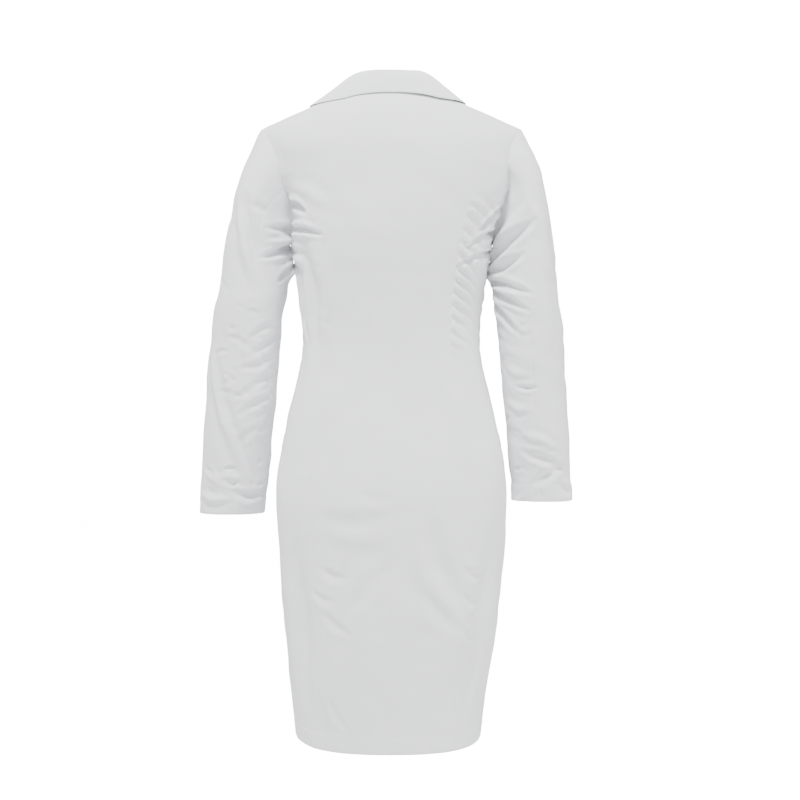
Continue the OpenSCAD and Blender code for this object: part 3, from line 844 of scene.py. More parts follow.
@dataclass(frozen=True)
class ClothFinish:
    """Matte woven cloth: two close tones, twill ribs and rows of stitches."""

    name: str
    light: tuple = (0.80, 0.81, 0.83)
    dark: tuple = (0.76, 0.77, 0.79)
    thread: tuple = (0.74, 0.75, 0.77)
    roughness: float = 0.88
    sheen: float = 0.12
    pitch: float = 0.0011
    rib: float = 0.35

    def make(self, effects: Effects) -> bpy.types.Material:
        """Builds the material.

        Args: effects: the shared node groups.
        Returns: the material.
        """
        mat = bpy.data.materials.new(self.name)
        mat.use_nodes = True
        t = mat.node_tree
        shader = t.nodes["Principled BSDF"]
        shader.inputs["Roughness"].default_value = self.roughness
        shader.inputs["Sheen Weight"].default_value = self.sheen
        shader.inputs["Sheen Roughness"].default_value = 0.6
        shader.inputs["Specular IOR Level"].default_value = 0.25
        uv = t.nodes.new("ShaderNodeUVMap")
        uv.uv_map = "UVMap"
        mottle = use_group(t, effects.mottle, Cloth=uv.outputs[0], Scale=7.0)
        twill = use_group(t, effects.twill, Cloth=uv.outputs[0], Pitch=self.pitch)
        sockets = []
        for label in ("stitch_across", "stitch_along"):
            reader = t.nodes.new("ShaderNodeAttribute")
            reader.attribute_name = label
            sockets.append(reader.outputs["Fac"])
        row = use_group(t, effects.stitches, Across=sockets[0], Along=sockets[1])
        tone = t.nodes.new("ShaderNodeMix")
        tone.data_type = "RGBA"
        tone.inputs["A"].default_value = (*self.dark, 1)
        tone.inputs["B"].default_value = (*self.light, 1)
        t.links.new(mottle.outputs[0], tone.inputs["Factor"])
        thread = t.nodes.new("ShaderNodeMix")
        thread.data_type = "RGBA"
        thread.inputs["B"].default_value = (*self.thread, 1)
        t.links.new(row.outputs[0], thread.inputs["Factor"])
        t.links.new(tone.outputs["Result"], thread.inputs["A"])
        t.links.new(thread.outputs["Result"], shader.inputs["Base Color"])
        height = math_node(t, "ADD", math_node(t, "MULTIPLY", twill.outputs[0], self.rib),
                           math_node(t, "MULTIPLY", row.outputs[0], 2.0))
        bump = t.nodes.new("ShaderNodeBump")
        bump.inputs["Strength"].default_value = 0.25
        bump.inputs["Distance"].default_value = 0.00012
        t.links.new(height, bump.inputs["Height"])
        t.links.new(bump.outputs[0], shader.inputs["Normal"])
        return mat


@dataclass(frozen=True)
class HardFinish:
    """A plated or moulded surface with faint wear."""

    name: str
    colour: tuple
    worn: tuple
    roughness: float
    metallic: float = 0.0
    coat: float = 0.0

    def make(self, effects: Effects) -> bpy.types.Material:
        """Builds the material.

        Args: effects: the shared node groups.
        Returns: the material.
        """
        mat = bpy.data.materials.new(self.name)
        mat.use_nodes = True
        t = mat.node_tree
        shader = t.nodes["Principled BSDF"]
        shader.inputs["Roughness"].default_value = self.roughness
        shader.inputs["Metallic"].default_value = self.metallic
        shader.inputs["Coat Weight"].default_value = self.coat
        place = t.nodes.new("ShaderNodeTexCoord")
        mottle = use_group(t, effects.mottle, Cloth=place.outputs["Object"], Scale=260.0)
        tone = t.nodes.new("ShaderNodeMix")
        tone.data_type = "RGBA"
        tone.inputs["A"].default_value = (*self.worn, 1)
        tone.inputs["B"].default_value = (*self.colour, 1)
        t.links.new(mottle.outputs[0], tone.inputs["Factor"])
        t.links.new(tone.outputs["Result"], shader.inputs["Base Color"])
        return mat


class Wardrobe:
    """Every finish of the coat, made once."""

    def __init__(self) -> None:
        """Builds the materials."""
        fx = Effects()
        self.coat = ClothFinish("White twill").make(fx)
        # The upper collar and the lapels take the coat's own white twill painted lighter: painted light
        # standing in for the light they catch.
        self.collar = ClothFinish(
            "Collar twill", light=(0.86, 0.875, 0.895), dark=(0.84, 0.855, 0.875)).make(fx)
        # The facings, the under collar and the back neck facing take the same twill painted darker: painted
        # shade for where they lie under and inside the coat.
        self.facing = ClothFinish("Facing twill", light=(0.77, 0.78, 0.80), dark=(0.73, 0.74, 0.76)).make(fx)
        self.interlining = ClothFinish("Interlining", roughness=0.95, sheen=0.0, pitch=0.002).make(fx)
        self.tape = ClothFinish("Woven tape", pitch=0.0006, rib=0.6).make(fx)
        self.label = HardFinish("Satin label", (0.84, 0.85, 0.87), (0.80, 0.81, 0.84), 0.45).make(fx)
        self.pearl = HardFinish("Pearl cap", (0.80, 0.79, 0.74), (0.70, 0.69, 0.66), 0.16, coat=0.6).make(fx)
        self.nickel = HardFinish(
            "Nickel", (0.60, 0.59, 0.57), (0.48, 0.47, 0.45), 0.28, metallic=1.0).make(fx)


# ---------------------------------------------------------------- sub-assemblies


def across_steps(widths: Array, pitch: float, close: Sequence[float]) -> Array:
    """Shares across each row: close steps by both edges and even ones between.

    Args: widths: width of each row; pitch: even spacing at the widest row; close: distances
        from an edge where a column stands.
    Returns: rows by columns, from 0 to 1.
    """
    close = np.asarray(close)
    last = float(close[-1])
    n = max(2, int(math.ceil(float(widths.max()) / pitch)))
    w = np.maximum(widths[:, None], 1e-6)
    squeeze = np.minimum(1, w / (last * 4))
    left = close[None, :] * squeeze
    middle = lerp(left[:, -1:], w - left[:, -1:], np.linspace(0, 1, n + 1)[None, 1:-1])
    return np.concatenate([left, middle, w - left[:, ::-1]], axis=1) / w


def along_steps(a: float, b: float, pitch: float) -> Array:
    """Even steps from a to b, no further apart than pitch."""
    return np.linspace(a, b, max(2, int(math.ceil(abs(b - a) / pitch)) + 1))


SEAM_STEPS = (0.0, 0.0010, 0.0022, 0.0038, 0.0058)
SEAM_GAP = 0.000004
MIRROR = np.array([-1.0, 1.0, 1.0])


@dataclass(frozen=True)
class PocketCut:
    """A patch pocket's place: angles of its sides, drop of its mouth, height and fullness."""

    inner: float
    outer: float
    mouth: float
    deep: float
    full: float


@dataclass
class Bodice:
    """The body of the coat: back, side and front panels of one hand, with its pocket."""

    hand: Hand
    block: Block
    folds: FoldField
    pitch: float = 0.0024

    def _place(self, piece: ClothPiece, side: int) -> ClothPiece:
        """Mirrors a piece to its hand, and the left front goes under the lap.

        Args: piece: the piece, as for the left hand; side: back or front.
        Returns: the same piece, moved.
        """
        if side < 0 and self.hand is Hand.LEFT:
            piece.p = self.block.lapped(piece.p)
        if self.hand is Hand.RIGHT:
            piece.p = piece.p * MIRROR
        piece.p = self.block.pulled(self.block.hung(piece.p))
        return piece

    def _coords(self, angle: Array, p: Array, side: int) -> tuple[Array, Array]:
        """Cloth coordinates: angle round the whole body times the girth, and the drop."""
        turn = angle if side > 0 else math.pi - angle
        return self.hand.value * GIRTH * turn, -p[..., 2]

    def _rows(
        self, name: str, lo: Callable, hi: Callable, drops: Array, side: int, edges: dict
    ) -> ClothPiece:
        """A panel between two seams below the blades.

        Args: name: the piece; lo, hi: seam angles by drop; drops: rows, from the hem up;
            side: back or front; edges: how it ends.
        Returns: the piece before its folds.
        """
        b = self.block
        gap = SEAM_GAP / b.half_w(drops)
        low, high = lo(drops) + gap, hi(drops) - gap
        width = np.maximum((high - low) * STEP_GIRTH, 0.0004)
        s = across_steps(width, self.pitch, SEAM_STEPS)
        angle = lerp(low[:, None], high[:, None], s)
        p = b.ring(angle, drops[:, None], side)
        u, v = self._coords(angle, p, side)
        return ClothPiece(name, p, u, v, edges)

    def back_centre(self) -> ClothPiece:
        """Back panel from the hem to the neck and shoulder seams.

        Returns: the piece before its folds.
        """
        b = self.block
        drops = np.concatenate([
            along_steps(b.coat_len, b.princess_top, self.pitch),
            along_steps(b.princess_top, b.blade_drop, self.pitch)[1:]])
        low, high = 0 * drops, b.back_edge(drops) - SEAM_GAP / b.half_w(drops)
        share = across_steps((high - low) * STEP_GIRTH, self.pitch, SEAM_STEPS)
        angle = lerp(low[:, None], high[:, None], share)
        top = angle[-1]
        k = along_steps(0, 1, self.pitch / 0.125)[1:, None]
        theta = k * (b.arch_top(top)[None, :] - SHOULDER_GAP)
        above = np.broadcast_to(top, theta.shape)
        p = np.concatenate([b.ring(angle, drops[:, None], 1), b.arch(above, theta, 1)])
        u, v = self._coords(np.concatenate([angle, above]), p, 1)
        edges = {"left": Edge(0.3), "right": Edge(), "bottom": Edge(0, hem=HEM_DEEP), "top": Edge()}
        return ClothPiece("back_centre_" + self.hand.word, p, u, v, edges)

    def back_side(self) -> ClothPiece:
        """Back side panel, from the hem to its point at the armhole.

        Returns: the piece before its folds.
        """
        b = self.block
        drops = along_steps(b.coat_len, b.princess_top + 0.002, self.pitch)
        edges = {"left": Edge(), "right": Edge(), "bottom": Edge(0, hem=HEM_DEEP), "top": Edge()}
        return self._rows("back_side_" + self.hand.word, b.back_seam, b.arm_angle, drops, 1, edges)

    def front_side(self) -> ClothPiece:
        """Front side panel, from the hem to its point at the armhole.

        Returns: the piece before its folds.
        """
        b = self.block
        drops = along_steps(b.coat_len, b.princess_top + 0.002, self.pitch)
        edges = {"left": Edge(), "right": Edge(), "bottom": Edge(0, hem=HEM_DEEP), "top": Edge()}
        return self._rows("front_side_" + self.hand.word, b.front_seam, b.arm_angle, drops, -1, edges)

    def front_chest(self) -> ClothPiece:
        """Upper front, from the lapel break to the shoulder seam.

        Returns: the piece before its folds.
        """
        b = self.block
        drops = np.concatenate([
            along_steps(b.break_drop, b.princess_top, self.pitch),
            along_steps(b.princess_top, b.blade_drop, self.pitch)[1:]])
        low, high = b.roll_angle(drops), b.front_edge(drops) - SEAM_GAP / b.half_w(drops)
        share = across_steps((high - low) * STEP_GIRTH, self.pitch, SEAM_STEPS)
        angle = lerp(low[:, None], high[:, None], share)
        top = angle[-1]
        k = along_steps(0, 1, self.pitch / 0.14)[1:, None]
        theta = k * (math.pi / 2 - SHOULDER_GAP) * np.ones_like(top)
        above = np.broadcast_to(top, theta.shape)
        p = np.concatenate([b.ring(angle, drops[:, None], -1), b.arch(above, theta, -1)])
        u, v = self._coords(np.concatenate([angle, above]), p, -1)
        edges = {"left": Edge(0, stitch=EDGE_STITCH), "right": Edge(), "bottom": Edge(0), "top": Edge()}
        return ClothPiece("front_chest_" + self.hand.word, p, u, v, edges)

    def front_skirt(self) -> ClothPiece:
        """Lower front, from the hem to the lapel break.

        Returns: the piece before its folds.
        """
        b = self.block
        drops = along_steps(b.coat_len, b.break_drop + 0.0001, self.pitch)
        edges = {"left": Edge(0, stitch=EDGE_STITCH), "right": Edge(),
                 "bottom": Edge(0, hem=HEM_DEEP), "top": Edge(0)}
        return self._rows("front_skirt_" + self.hand.word, b.roll_angle, b.front_seam, drops, -1, edges)

    def facing(self) -> ClothPiece:
        """Facing behind the front's edge.

        Returns: the piece before its folds.
        """
        b = self.block
        inner, pitch = 0.048, 0.006
        drops = along_steps(b.coat_len - 0.003, b.break_drop + 0.002, pitch)
        edges = {"left": Edge(0), "right": Edge(0, stitch=NARROW_STITCH), "bottom": Edge(0), "top": Edge(0)}
        name = "facing_" + self.hand.word
        piece = self._rows(name, b.roll_angle, lambda d: b.angle_of(inner, d), drops, -1, edges)
        piece.p = piece.p + np.array([0, FACING_IN, 0])
        return piece

    def lapel(self) -> ClothPiece:
        """The front's edge turned back: straight lines from the roll line to the lapel's edge.

        Returns: the piece before its folds.
        """
        b = self.block
        v = along_steps(0.02, 1, 0.01)[:, None]
        roll_share, top_turn = 0.6, math.radians(62)
        theta = top_turn * np.clip((v - roll_share) / (1 - roll_share), 0, 1)
        high_x = b.inner_x(theta, -1)
        high_d = b.blade_drop - (b.ridge(high_x) + b.blade_drop) * np.sin(theta)
        low_d = lerp(b.break_drop, b.blade_drop, np.clip(v / roll_share, 0, 1))
        roll_d = np.where(v < roll_share, low_d, high_d)
        roll_x = np.where(v < roll_share, b.roll_x(low_d), high_x)
        f = np.concatenate([[0, 0.02, 0.05], np.linspace(0.09, 0.95, 26), [0.975, 1]])[None, :]
        x = lerp(roll_x, np.maximum(lerp(-b.front_lap, 0.108, v**0.85), roll_x + 0.004), f)
        d = lerp(roll_d, lerp(b.break_drop, 0.075, v), f)
        p = np.stack([x, b.front_y(x, d), -d], -1)
        normal = grid_normals(p)
        normal = normal * np.sign(-normal[..., 1:2])
        belly = 2.4 * MM * np.sin(np.pi * f) * smooth(v / 0.3)
        swell = 1.2 * MM + belly + 0.6 * MM * (1 - f)
        p = p + normal * (swell[..., None] + 1.6 * MM)
        u = -self.hand.value * (GIRTH * math.pi - x)
        edges = {"left": Edge(0), "right": Edge(0, stitch=EDGE_STITCH),
                 "bottom": Edge(0), "top": Edge(0, stitch=EDGE_STITCH)}
        return ClothPiece("lapel_" + self.hand.word, p, u, d, edges, thickness=1.6 * MM)

    def pocket(self, name: str, cut: PocketCut) -> ClothPiece:
        """A patch pocket: its edges lie on the panel and its mouth stands a little off it.

        Args: name: the piece; cut: its place and size.
        Returns: the piece.
        """
        b = self.block
        pitch, foot = 0.003, cut.mouth + cut.deep
        drops = along_steps(foot, cut.mouth, pitch)[:, None]
        width = np.full(len(drops), (cut.outer - cut.inner) * STEP_GIRTH)
        s = across_steps(width, pitch, (0, 0.0008, 0.002, 0.0035))
        angle = lerp(cut.inner, cut.outer, s)
        p = b.ring(angle, drops, -1)
        normal = grid_normals(p)
        normal = normal * np.sign((normal[..., :2] * p[..., :2]).sum(-1, keepdims=True))
        up = (foot - drops) / cut.deep
        lift = 1.3 * MM + cut.full * np.sin(np.pi * s) ** 0.8 * (0.25 + 0.75 * up**2) * smooth(up / 0.12)
        p = p + normal * lift[..., None]
        u, v = self._coords(angle, p, -1)
        sewn = Edge(0, stitch=POCKET_STITCH)
        edges = {"left": sewn, "right": sewn, "bottom": sewn, "top": Edge(0, hem=POCKET_HEM)}
        return ClothPiece(name, p, u, v, edges, held="stretched")

    def pieces(self) -> list[tuple[ClothPiece, str, bool]]:
        """Every piece of this hand, placed.

        Returns: each piece, its material's name and whether it folds open.
        """
        b = self.block
        hip = PocketCut(float(b.front_seam(0.56)) + math.radians(2), math.radians(88), 0.5, 0.155, 4 * MM)
        chest = PocketCut(math.radians(25), math.radians(61), 0.178, 0.095, 3 * MM)
        # The lapels take the twill painted lighter (painted light) and the facings the twill painted darker
        # (painted shade).
        cut = [(self.back_centre(), 1, "coat", False), (self.back_side(), 1, "coat", False),
               (self.front_side(), -1, "coat", False), (self.front_chest(), -1, "coat", True),
               (self.front_skirt(), -1, "coat", True), (self.facing(), -1, "facing", True),
               (self.lapel(), -1, "collar", True),
               (self.pocket("hip_pocket_" + self.hand.word, hip), -1, "coat", False)]
        if self.hand is Hand.LEFT:
            cut.append((self.pocket("chest_pocket", chest), -1, "coat", True))
        return [(self._place(piece, side), finish, opens) for piece, side, finish, opens in cut]

    def build(self, wardrobe: Wardrobe) -> None:
        """Makes, dresses and places every piece.

        Args: wardrobe: the finishes.
        """
        armhole = Sleeve(self.hand, self.block, self.folds).armhole(np.linspace(-180, 180, 241)[:-1])
        armhole = self.block.pulled(armhole * MIRROR if self.hand is Hand.RIGHT else armhole)
        for piece, finish, opens in self.pieces():
            gap = nearest(piece.p, armhole)
            calm = smooth((gap - 0.001) / 0.011)
            if piece.name.startswith(("back_centre", "front_chest")):
                calm = calm * smooth(piece.distances()["top"] / 0.020)
            if opens or "pocket" in piece.name or "front" in piece.name:
                calm = 0.40 * calm * smooth((np.abs(piece.p[..., 0]) - 0.020) / 0.030)
            if "facing" in piece.name or "lapel" in piece.name:
                calm = 0.3 * calm
            piece.dress(self.folds, calm, smooth(gap / 0.003))
            obj = piece.build(getattr(wardrobe, finish))
            if opens:
                bend(obj)
            else:
                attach(obj, "torso")
            finish_piece(obj, piece, piece.name)


def bend(obj: bpy.types.Object) -> None:
    """Bakes the piece's transform into its mesh and leaves the object at the origin.

    Args: obj: the piece.
    """
    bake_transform(obj)


def finish_piece(obj: bpy.types.Object, piece: ClothPiece, node: str) -> None:
    """Hides the CAD node that a piece stands for and logs the piece's size.

    Args: obj: the object; piece: its cloth; node: the CAD node.
    """
    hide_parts(node)
    LOG.info("%s: %d faces, flat %.0f by %.0f mm, %.4f m2", node, len(obj.data.polygons),
             piece.flat[0] * 1000, piece.flat[1] * 1000, piece.area)


@dataclass
class Sleeve:
    """A two-piece sleeve: a cap eased into the armhole, then a slim tube to the cuff."""

    hand: Hand
    block: Block
    folds: FoldField
    cap_drop: float = 0.300
    cuff_drop: float = 0.612
    arm_out: float = 0.204
    cuff_out: float = 0.231
    arm_half: tuple = (0.050, 0.058)
    cuff_half: tuple = (0.046, 0.042)
    back_seam: float = 97.0
    front_seam: float = -110.0
    arch_share: float = 0.45
    pitch: float = 0.0020
    swing: tuple = ((0.22, 0.0), (0.30, 0.005), (0.38, 0.0075), (0.62, 0.0095))
    fuller: tuple = ((0.22, 0.0), (0.38, 0.003), (0.62, 0.003))

    @classmethod
    def hanging(cls, hand: Hand, block: Block) -> "Sleeve":
        """A sleeve as it hangs: the left one out and long, the right one in and short.

        Args: hand: which sleeve; block: the body block.
        Returns: the sleeve.
        """
        if hand is Hand.LEFT:
            return cls(hand, block, sleeve_folds(hand), cuff_drop=0.620)
        return cls(hand, block, sleeve_folds(hand), cuff_drop=0.601,
                   swing=((0.22, 0.0), (0.30, -0.002), (0.38, -0.003), (0.62, -0.005)),
                   fuller=((0.22, 0.0), (0.38, -0.001), (0.62, -0.001)))

    def share(self, d: Values) -> Array:
        """Share of the way from the cap to the cuff."""
        return np.clip((d - self.cap_drop) / (self.cuff_drop - self.cap_drop), 0, 1)

    def centre_x(self, d: Values) -> Array:
        """X of the sleeve's centre line."""
        return lerp(self.arm_out, self.cuff_out, self.share(d) ** 0.8) + curve(self.swing, d)

    def centre_y(self, d: Values) -> Array:
        """Y of the centre line, which leans forward towards the cuff."""
        return -0.014 * self.share(d) ** 1.6

    def half_w(self, d: Values) -> Array:
        """Half width of the sleeve at drop d."""
        return lerp(self.arm_half[0], self.cuff_half[0], self.share(d) ** 2) + curve(self.fuller, d)

    def tube(self, a: Array, d: Values) -> Array:
        """Point of the tube: an oval round a centre line that leans out and forward.

        Args: a: degrees from the outer line towards the back; d: drop.
        Returns: points.
        """
        r = np.radians(a)
        x = self.centre_x(d) + self.half_w(d) * np.cos(r)
        deep = lerp(self.arm_half[1], self.cuff_half[1], self.share(d))
        y = self.centre_y(d) + deep * np.sin(r)
        return np.stack(np.broadcast_arrays(x, y, -np.asarray(d, float)), -1)

    def armhole(self, a: Array) -> Array:
        """Point of the armhole: over the shoulder in the arch, then down to the underarm.

        Args: a: degrees, 0 at the shoulder tip, 180 at the underarm, positive at the back.
        Returns: points.
        """
        b = self.block
        q = np.abs(a) / 180
        theta = math.pi / 2 * (1 - np.clip(q / self.arch_share, 0, 1))
        angle = lerp(b.blade_arm, math.pi / 2, np.clip((q - self.arch_share) / (1 - self.arch_share), 0, 1))
        t = ((math.pi / 2 - angle) / (math.pi / 2 - b.blade_arm)) ** 2
        d = lerp(b.underarm_drop, b.blade_drop, t)
        out = np.zeros(a.shape + (3,))
        for side, chosen in ((1, a >= 0), (-1, a < 0)):
            arch = b.arch(np.full(a.shape, b.blade_arm), theta, side)
            low = b.ring(angle, d, side)
            p = np.where((q <= self.arch_share)[..., None], arch, low)
            out = np.where(chosen[..., None], p, out)
        return out

    def cap(self, a: Array, v: Array) -> Array:
        """Point of the cap: a cubic from the armhole, leaving outwards, to the tube's top.

        Args: a: degrees round the sleeve; v: share of the way down.
        Returns: points.
        """
        r = np.radians(a)
        start = self.armhole(a)
        end = self.tube(a, self.cap_drop)
        out, under = np.maximum(np.cos(r), 0), np.minimum(np.cos(r), 0)
        outwards = 0.8 - 0.3 * out**2 - 0.65 * under**2
        upwards = -0.55 - 0.32 * out**2 - 0.45 * under**2
        leave = np.stack([outwards, 0.25 * np.sin(r), upwards], -1)
        reach = np.linalg.norm(end - start, axis=-1, keepdims=True)
        return hermite(start, reach * leave, end, reach * np.array([0.12, 0, -1]), v[..., None])

    def half(self, name: str, a0: float, a1: float) -> tuple[ClothPiece, Array]:
        """One of the two pieces, between two seams.

        Args: name: the piece; a0, a1: degrees of its seams.
        Returns: the piece and how far each point follows the arm.
        """
        gap = math.degrees(SEAM_GAP / SLEEVE_RADIUS)
        s = across_steps(np.array([math.radians(a1 - a0) * SLEEVE_RADIUS]), self.pitch, SEAM_STEPS)
        a = lerp(a0 + gap, a1 - gap, s)
        a = np.where(a > 180, a - 360, a)
        v = along_steps(0, 1, self.pitch / 0.22)[:-1, None]
        grid = (len(v), a.shape[1])
        top = self.cap(np.broadcast_to(a, grid), np.broadcast_to(v, grid))
        drops = along_steps(self.cap_drop, self.cuff_drop, self.pitch)[:, None]
        p = np.concatenate([top, self.tube(np.broadcast_to(a, (len(drops), a.shape[1])), drops)])
        p, a = p[::-1], np.broadcast_to(a, (len(p), a.shape[1]))
        under = (1 - np.cos(np.radians(a))) / 2
        up = lengths(p, 0)
        follow = smooth((up[-1:] - up) / (0.09 + 0.12 * under))
        u = (np.where(a < self.front_seam - 0.5, a + 360, a) / 180 * math.pi) * SLEEVE_RADIUS
        edges = {"left": Edge(), "right": Edge(), "bottom": Edge(0, hem=HEM_DEEP), "top": Edge()}
        piece = ClothPiece(name + self.hand.word, p, u, -p[..., 2], edges)
        return piece, follow

    def build(self, wardrobe: Wardrobe) -> None:
        """Makes the two pieces.

        Args: wardrobe: the finishes.
        """
        for name, a0, a1 in (("upper_sleeve_", self.front_seam, self.back_seam),
                             ("under_sleeve_", self.back_seam, 360 + self.front_seam)):
            piece, follow = self.half(name, a0, a1)
            d = -piece.p[..., 2]
            piece.away = piece.p - np.stack([self.centre_x(d), self.centre_y(d), piece.p[..., 2]], -1)
            if self.hand is Hand.RIGHT:
                piece.p, piece.away = piece.p * MIRROR, piece.away * MIRROR
            piece.p = self.block.pulled(piece.p)
            top = piece.distances()["top"]
            piece.dress(self.folds, smooth(top / 0.012), smooth(top / 0.003))
            obj = piece.build(wardrobe.coat)
            bend(obj)
            finish_piece(obj, piece, piece.name)


@dataclass
class Collar:
    """The collar: a band from the neck seam up, over its roll and down to its outer edge."""

    block: Block
    stand: float = 0.026
    out_back: float = 0.0685
    out_side: float = 0.118
    end: float = 118.0

    def surface(self, spread: float = 1.0) -> tuple[Array, Array, Array]:
        """The collar's grid: a cubic curve across for each angle round the neck.

        Its first control point rises from the neck seam, its second carries the roll out and
        its last is the outer edge, a little above the shoulders.
        Args: spread: share of the way out that the layer reaches.
        Returns: points, and the two grid coordinates.
        """
        b = self.block
        tau = np.concatenate([np.linspace(0, 0.9, 40), [0.93, 0.955, 0.975, 0.99, 1.0]])[:, None] * spread
        a = np.concatenate([
            [-self.end, -self.end + 0.8, -self.end + 2.0], np.linspace(-self.end + 4, self.end - 4, 118),
            [self.end - 2.0, self.end - 0.8, self.end]])[None, :]
        r = np.radians(a)
        front = smooth((np.abs(a) - 60) / (self.end - 60))
        side = smooth((np.abs(a) - 30) / 50)
        wing = smooth((np.abs(a) - 90) / (self.end - 90))
        c = np.cos(r)
        seam_y = c * np.where(c > 0, b.neck_back, b.neck_back * 0.95)
        up_neck = np.sin(np.minimum(np.pi / 2, np.abs(r))) ** 2
        seam_z = lerp(0.0018, b.neck_rise + 0.003, up_neck) - 0.002 * front
        seam = np.stack(np.broadcast_arrays(b.neck_half_w * np.sin(r), seam_y, seam_z), -1)
        lean = 1 + np.where(r > 0, 0.04, -0.05) * np.sin(np.abs(r)) ** 2
        out_x = self.out_side * lean * np.sin(r)
        out_y = c * np.where(c > 0, self.out_back, self.out_back * 1.85)
        out_z = b.shoulder_z(out_x, out_y) + 0.0044 - 0.0010 * side + 0.0045 * wing
        edge = np.stack(np.broadcast_arrays(out_x, out_y, out_z), -1)
        rise = (self.stand * (1.3 - 0.55 * side - 0.2 * wing))[..., None]
        carry = (1.35 - 0.9 * side + 0.3 * wing)[..., None]
        away = edge - seam
        away[..., 2] = 0
        away = unit(away)
        up = np.array([0.0, 0.0, 1.0])
        one = seam + rise * up - 0.005 * away
        two = lerp(seam, edge, lerp(0.45, 0.35, front)[..., None]) + carry * rise * up
        t = tau[..., None]
        p = (1 - t) ** 3 * seam + 3 * t * (1 - t) ** 2 * one + 3 * t * t * (1 - t) * two + t**3 * edge
        u = np.broadcast_to(r * 0.08, p.shape[:2])
        return p, u, np.broadcast_to(tau * 0.08, p.shape[:2])

    def build(self, wardrobe: Wardrobe) -> None:
        """Makes the two layers and the interlining between them.

        Args: wardrobe: the finishes.
        """
        soft = FoldField((), ground=0.0005, ground_size=0.06, seed=21)
        # The upper collar takes the twill painted lighter (painted light) and the under collar the twill
        # painted darker (painted shade).
        for node, lift, finish, thick in (("upper_collar", 0.0, wardrobe.collar, 0.8 * MM),
                                          ("collar_interlining", 0.9, wardrobe.interlining, 0.4 * MM),
                                          ("under_collar", 1.5, wardrobe.facing, 0.8 * MM)):
            p, u, v = self.surface(1.0 if node == "upper_collar" else 0.968)
            stitch = EDGE_STITCH if node == "upper_collar" else 0.0
            edges = {"left": Edge(0, stitch=stitch), "right": Edge(0, stitch=stitch),
                     "bottom": Edge(0), "top": Edge(0, stitch=stitch)}
            fall = np.linspace(-1, 1, len(p))[:, None, None] > 0
            away = (p + [0, 0, 0.1]) * fall
            piece = ClothPiece(node, p, u, v, edges, thickness=thick, held="folded", away=away)
            piece.p = p - grid_normals(p) * piece.sense() * lift * MM
            piece.dress(soft, 1.0)
            obj = piece.build(finish)
            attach(obj, "torso")
            finish_piece(obj, piece, node)


@dataclass
class NeckFacing:
    """The facing inside the back neck, under the top of both back panels."""

    block: Block
    reach: float = 0.58
    foot: float = 0.57

    def build(self, wardrobe: Wardrobe) -> None:
        """Makes the facing from the arch, a little inside the back.

        Args: wardrobe: the finishes.
        """
        b = self.block
        a = np.linspace(-self.reach, self.reach, 71)[None, :]
        k = np.linspace(self.foot, 0.985, 24)[:, None]
        size = np.abs(a) + 0.002
        p = b.arch(size * np.ones_like(k), k * b.arch_top(size), 1)
        p[..., 0] *= np.sign(a + 1e-9)
        normal = grid_normals(p)
        normal = normal * np.sign(normal[..., 1:2])
        p = p - normal * 1.9 * MM
        u = GIRTH * a * np.ones_like(k)
        edges = {"left": Edge(0), "right": Edge(0), "bottom": Edge(0, stitch=NARROW_STITCH), "top": Edge()}
        piece = ClothPiece("back_neck_facing", p, u, -p[..., 2], edges, thickness=0.7 * MM)
        piece.dress(FoldField((), ground=0.0002), 1.0)
        # The neck facing takes the twill painted darker: painted shade inside the back neck.
        obj = piece.build(wardrobe.facing)
        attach(obj, "torso")
        finish_piece(obj, piece, "back_neck_facing")


@dataclass
class HangerLoop:
    """A tape loop at the back neck, sewn in at both ends."""

    half: float = 0.021
    drop: float = 0.023
    tape: float = 0.0055
    y: float = 0.052
    top: float = -0.004

    def build(self, wardrobe: Wardrobe) -> None:
        """Carries a flat tape along a half oval.

        Args: wardrobe: the finishes.
        """
        t = np.linspace(0, math.pi, 49)
        side = np.linspace(-0.5, 0.5, 7)[:, None] * self.tape
        x = self.half * np.sign(np.cos(t)) * np.abs(np.cos(t)) ** 0.7
        z = self.top - self.drop * np.sin(t) ** 0.8
        away = unit(np.stack([np.cos(t) * 0.9, -np.sin(t) * 1.1], -1))
        p = np.stack([x - away[:, 0] * side, self.y + 0 * side * x, z - away[:, 1] * side], -1)
        p[..., 1] += 0.0002 * np.sin(9 * t)
        edges = {k: Edge(0) for k in ("left", "right", "bottom", "top")}
        u, v = x + 0 * side, z + 0 * side
        piece = ClothPiece("hanger_loop", p, u, v, edges, thickness=1.0 * MM, held="hung")
        piece.measure()
        obj = piece.build(wardrobe.tape)
        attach(obj, "hanger_loop")
        finish_piece(obj, piece, "hanger_loop")


def dress_hardware(wardrobe: Wardrobe) -> None:
    """Gives the snaps and the labels, which show their CAD solids, their finishes.

    Args: wardrobe: the finishes.
    """
    finishes = {"snap_caps": wardrobe.pearl, "snap_sockets": wardrobe.nickel, "snap_studs": wardrobe.nickel,
                "snap_posts": wardrobe.nickel, "size_label": wardrobe.label, "care_label": wardrobe.label}
    for node, finish in finishes.items():
        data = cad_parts[node].data
        data.materials.clear()
        data.materials.append(finish)
        LOG.info("%s: CAD solid, %s", node, finish.name)


# ---------------------------------------------------------------- studio


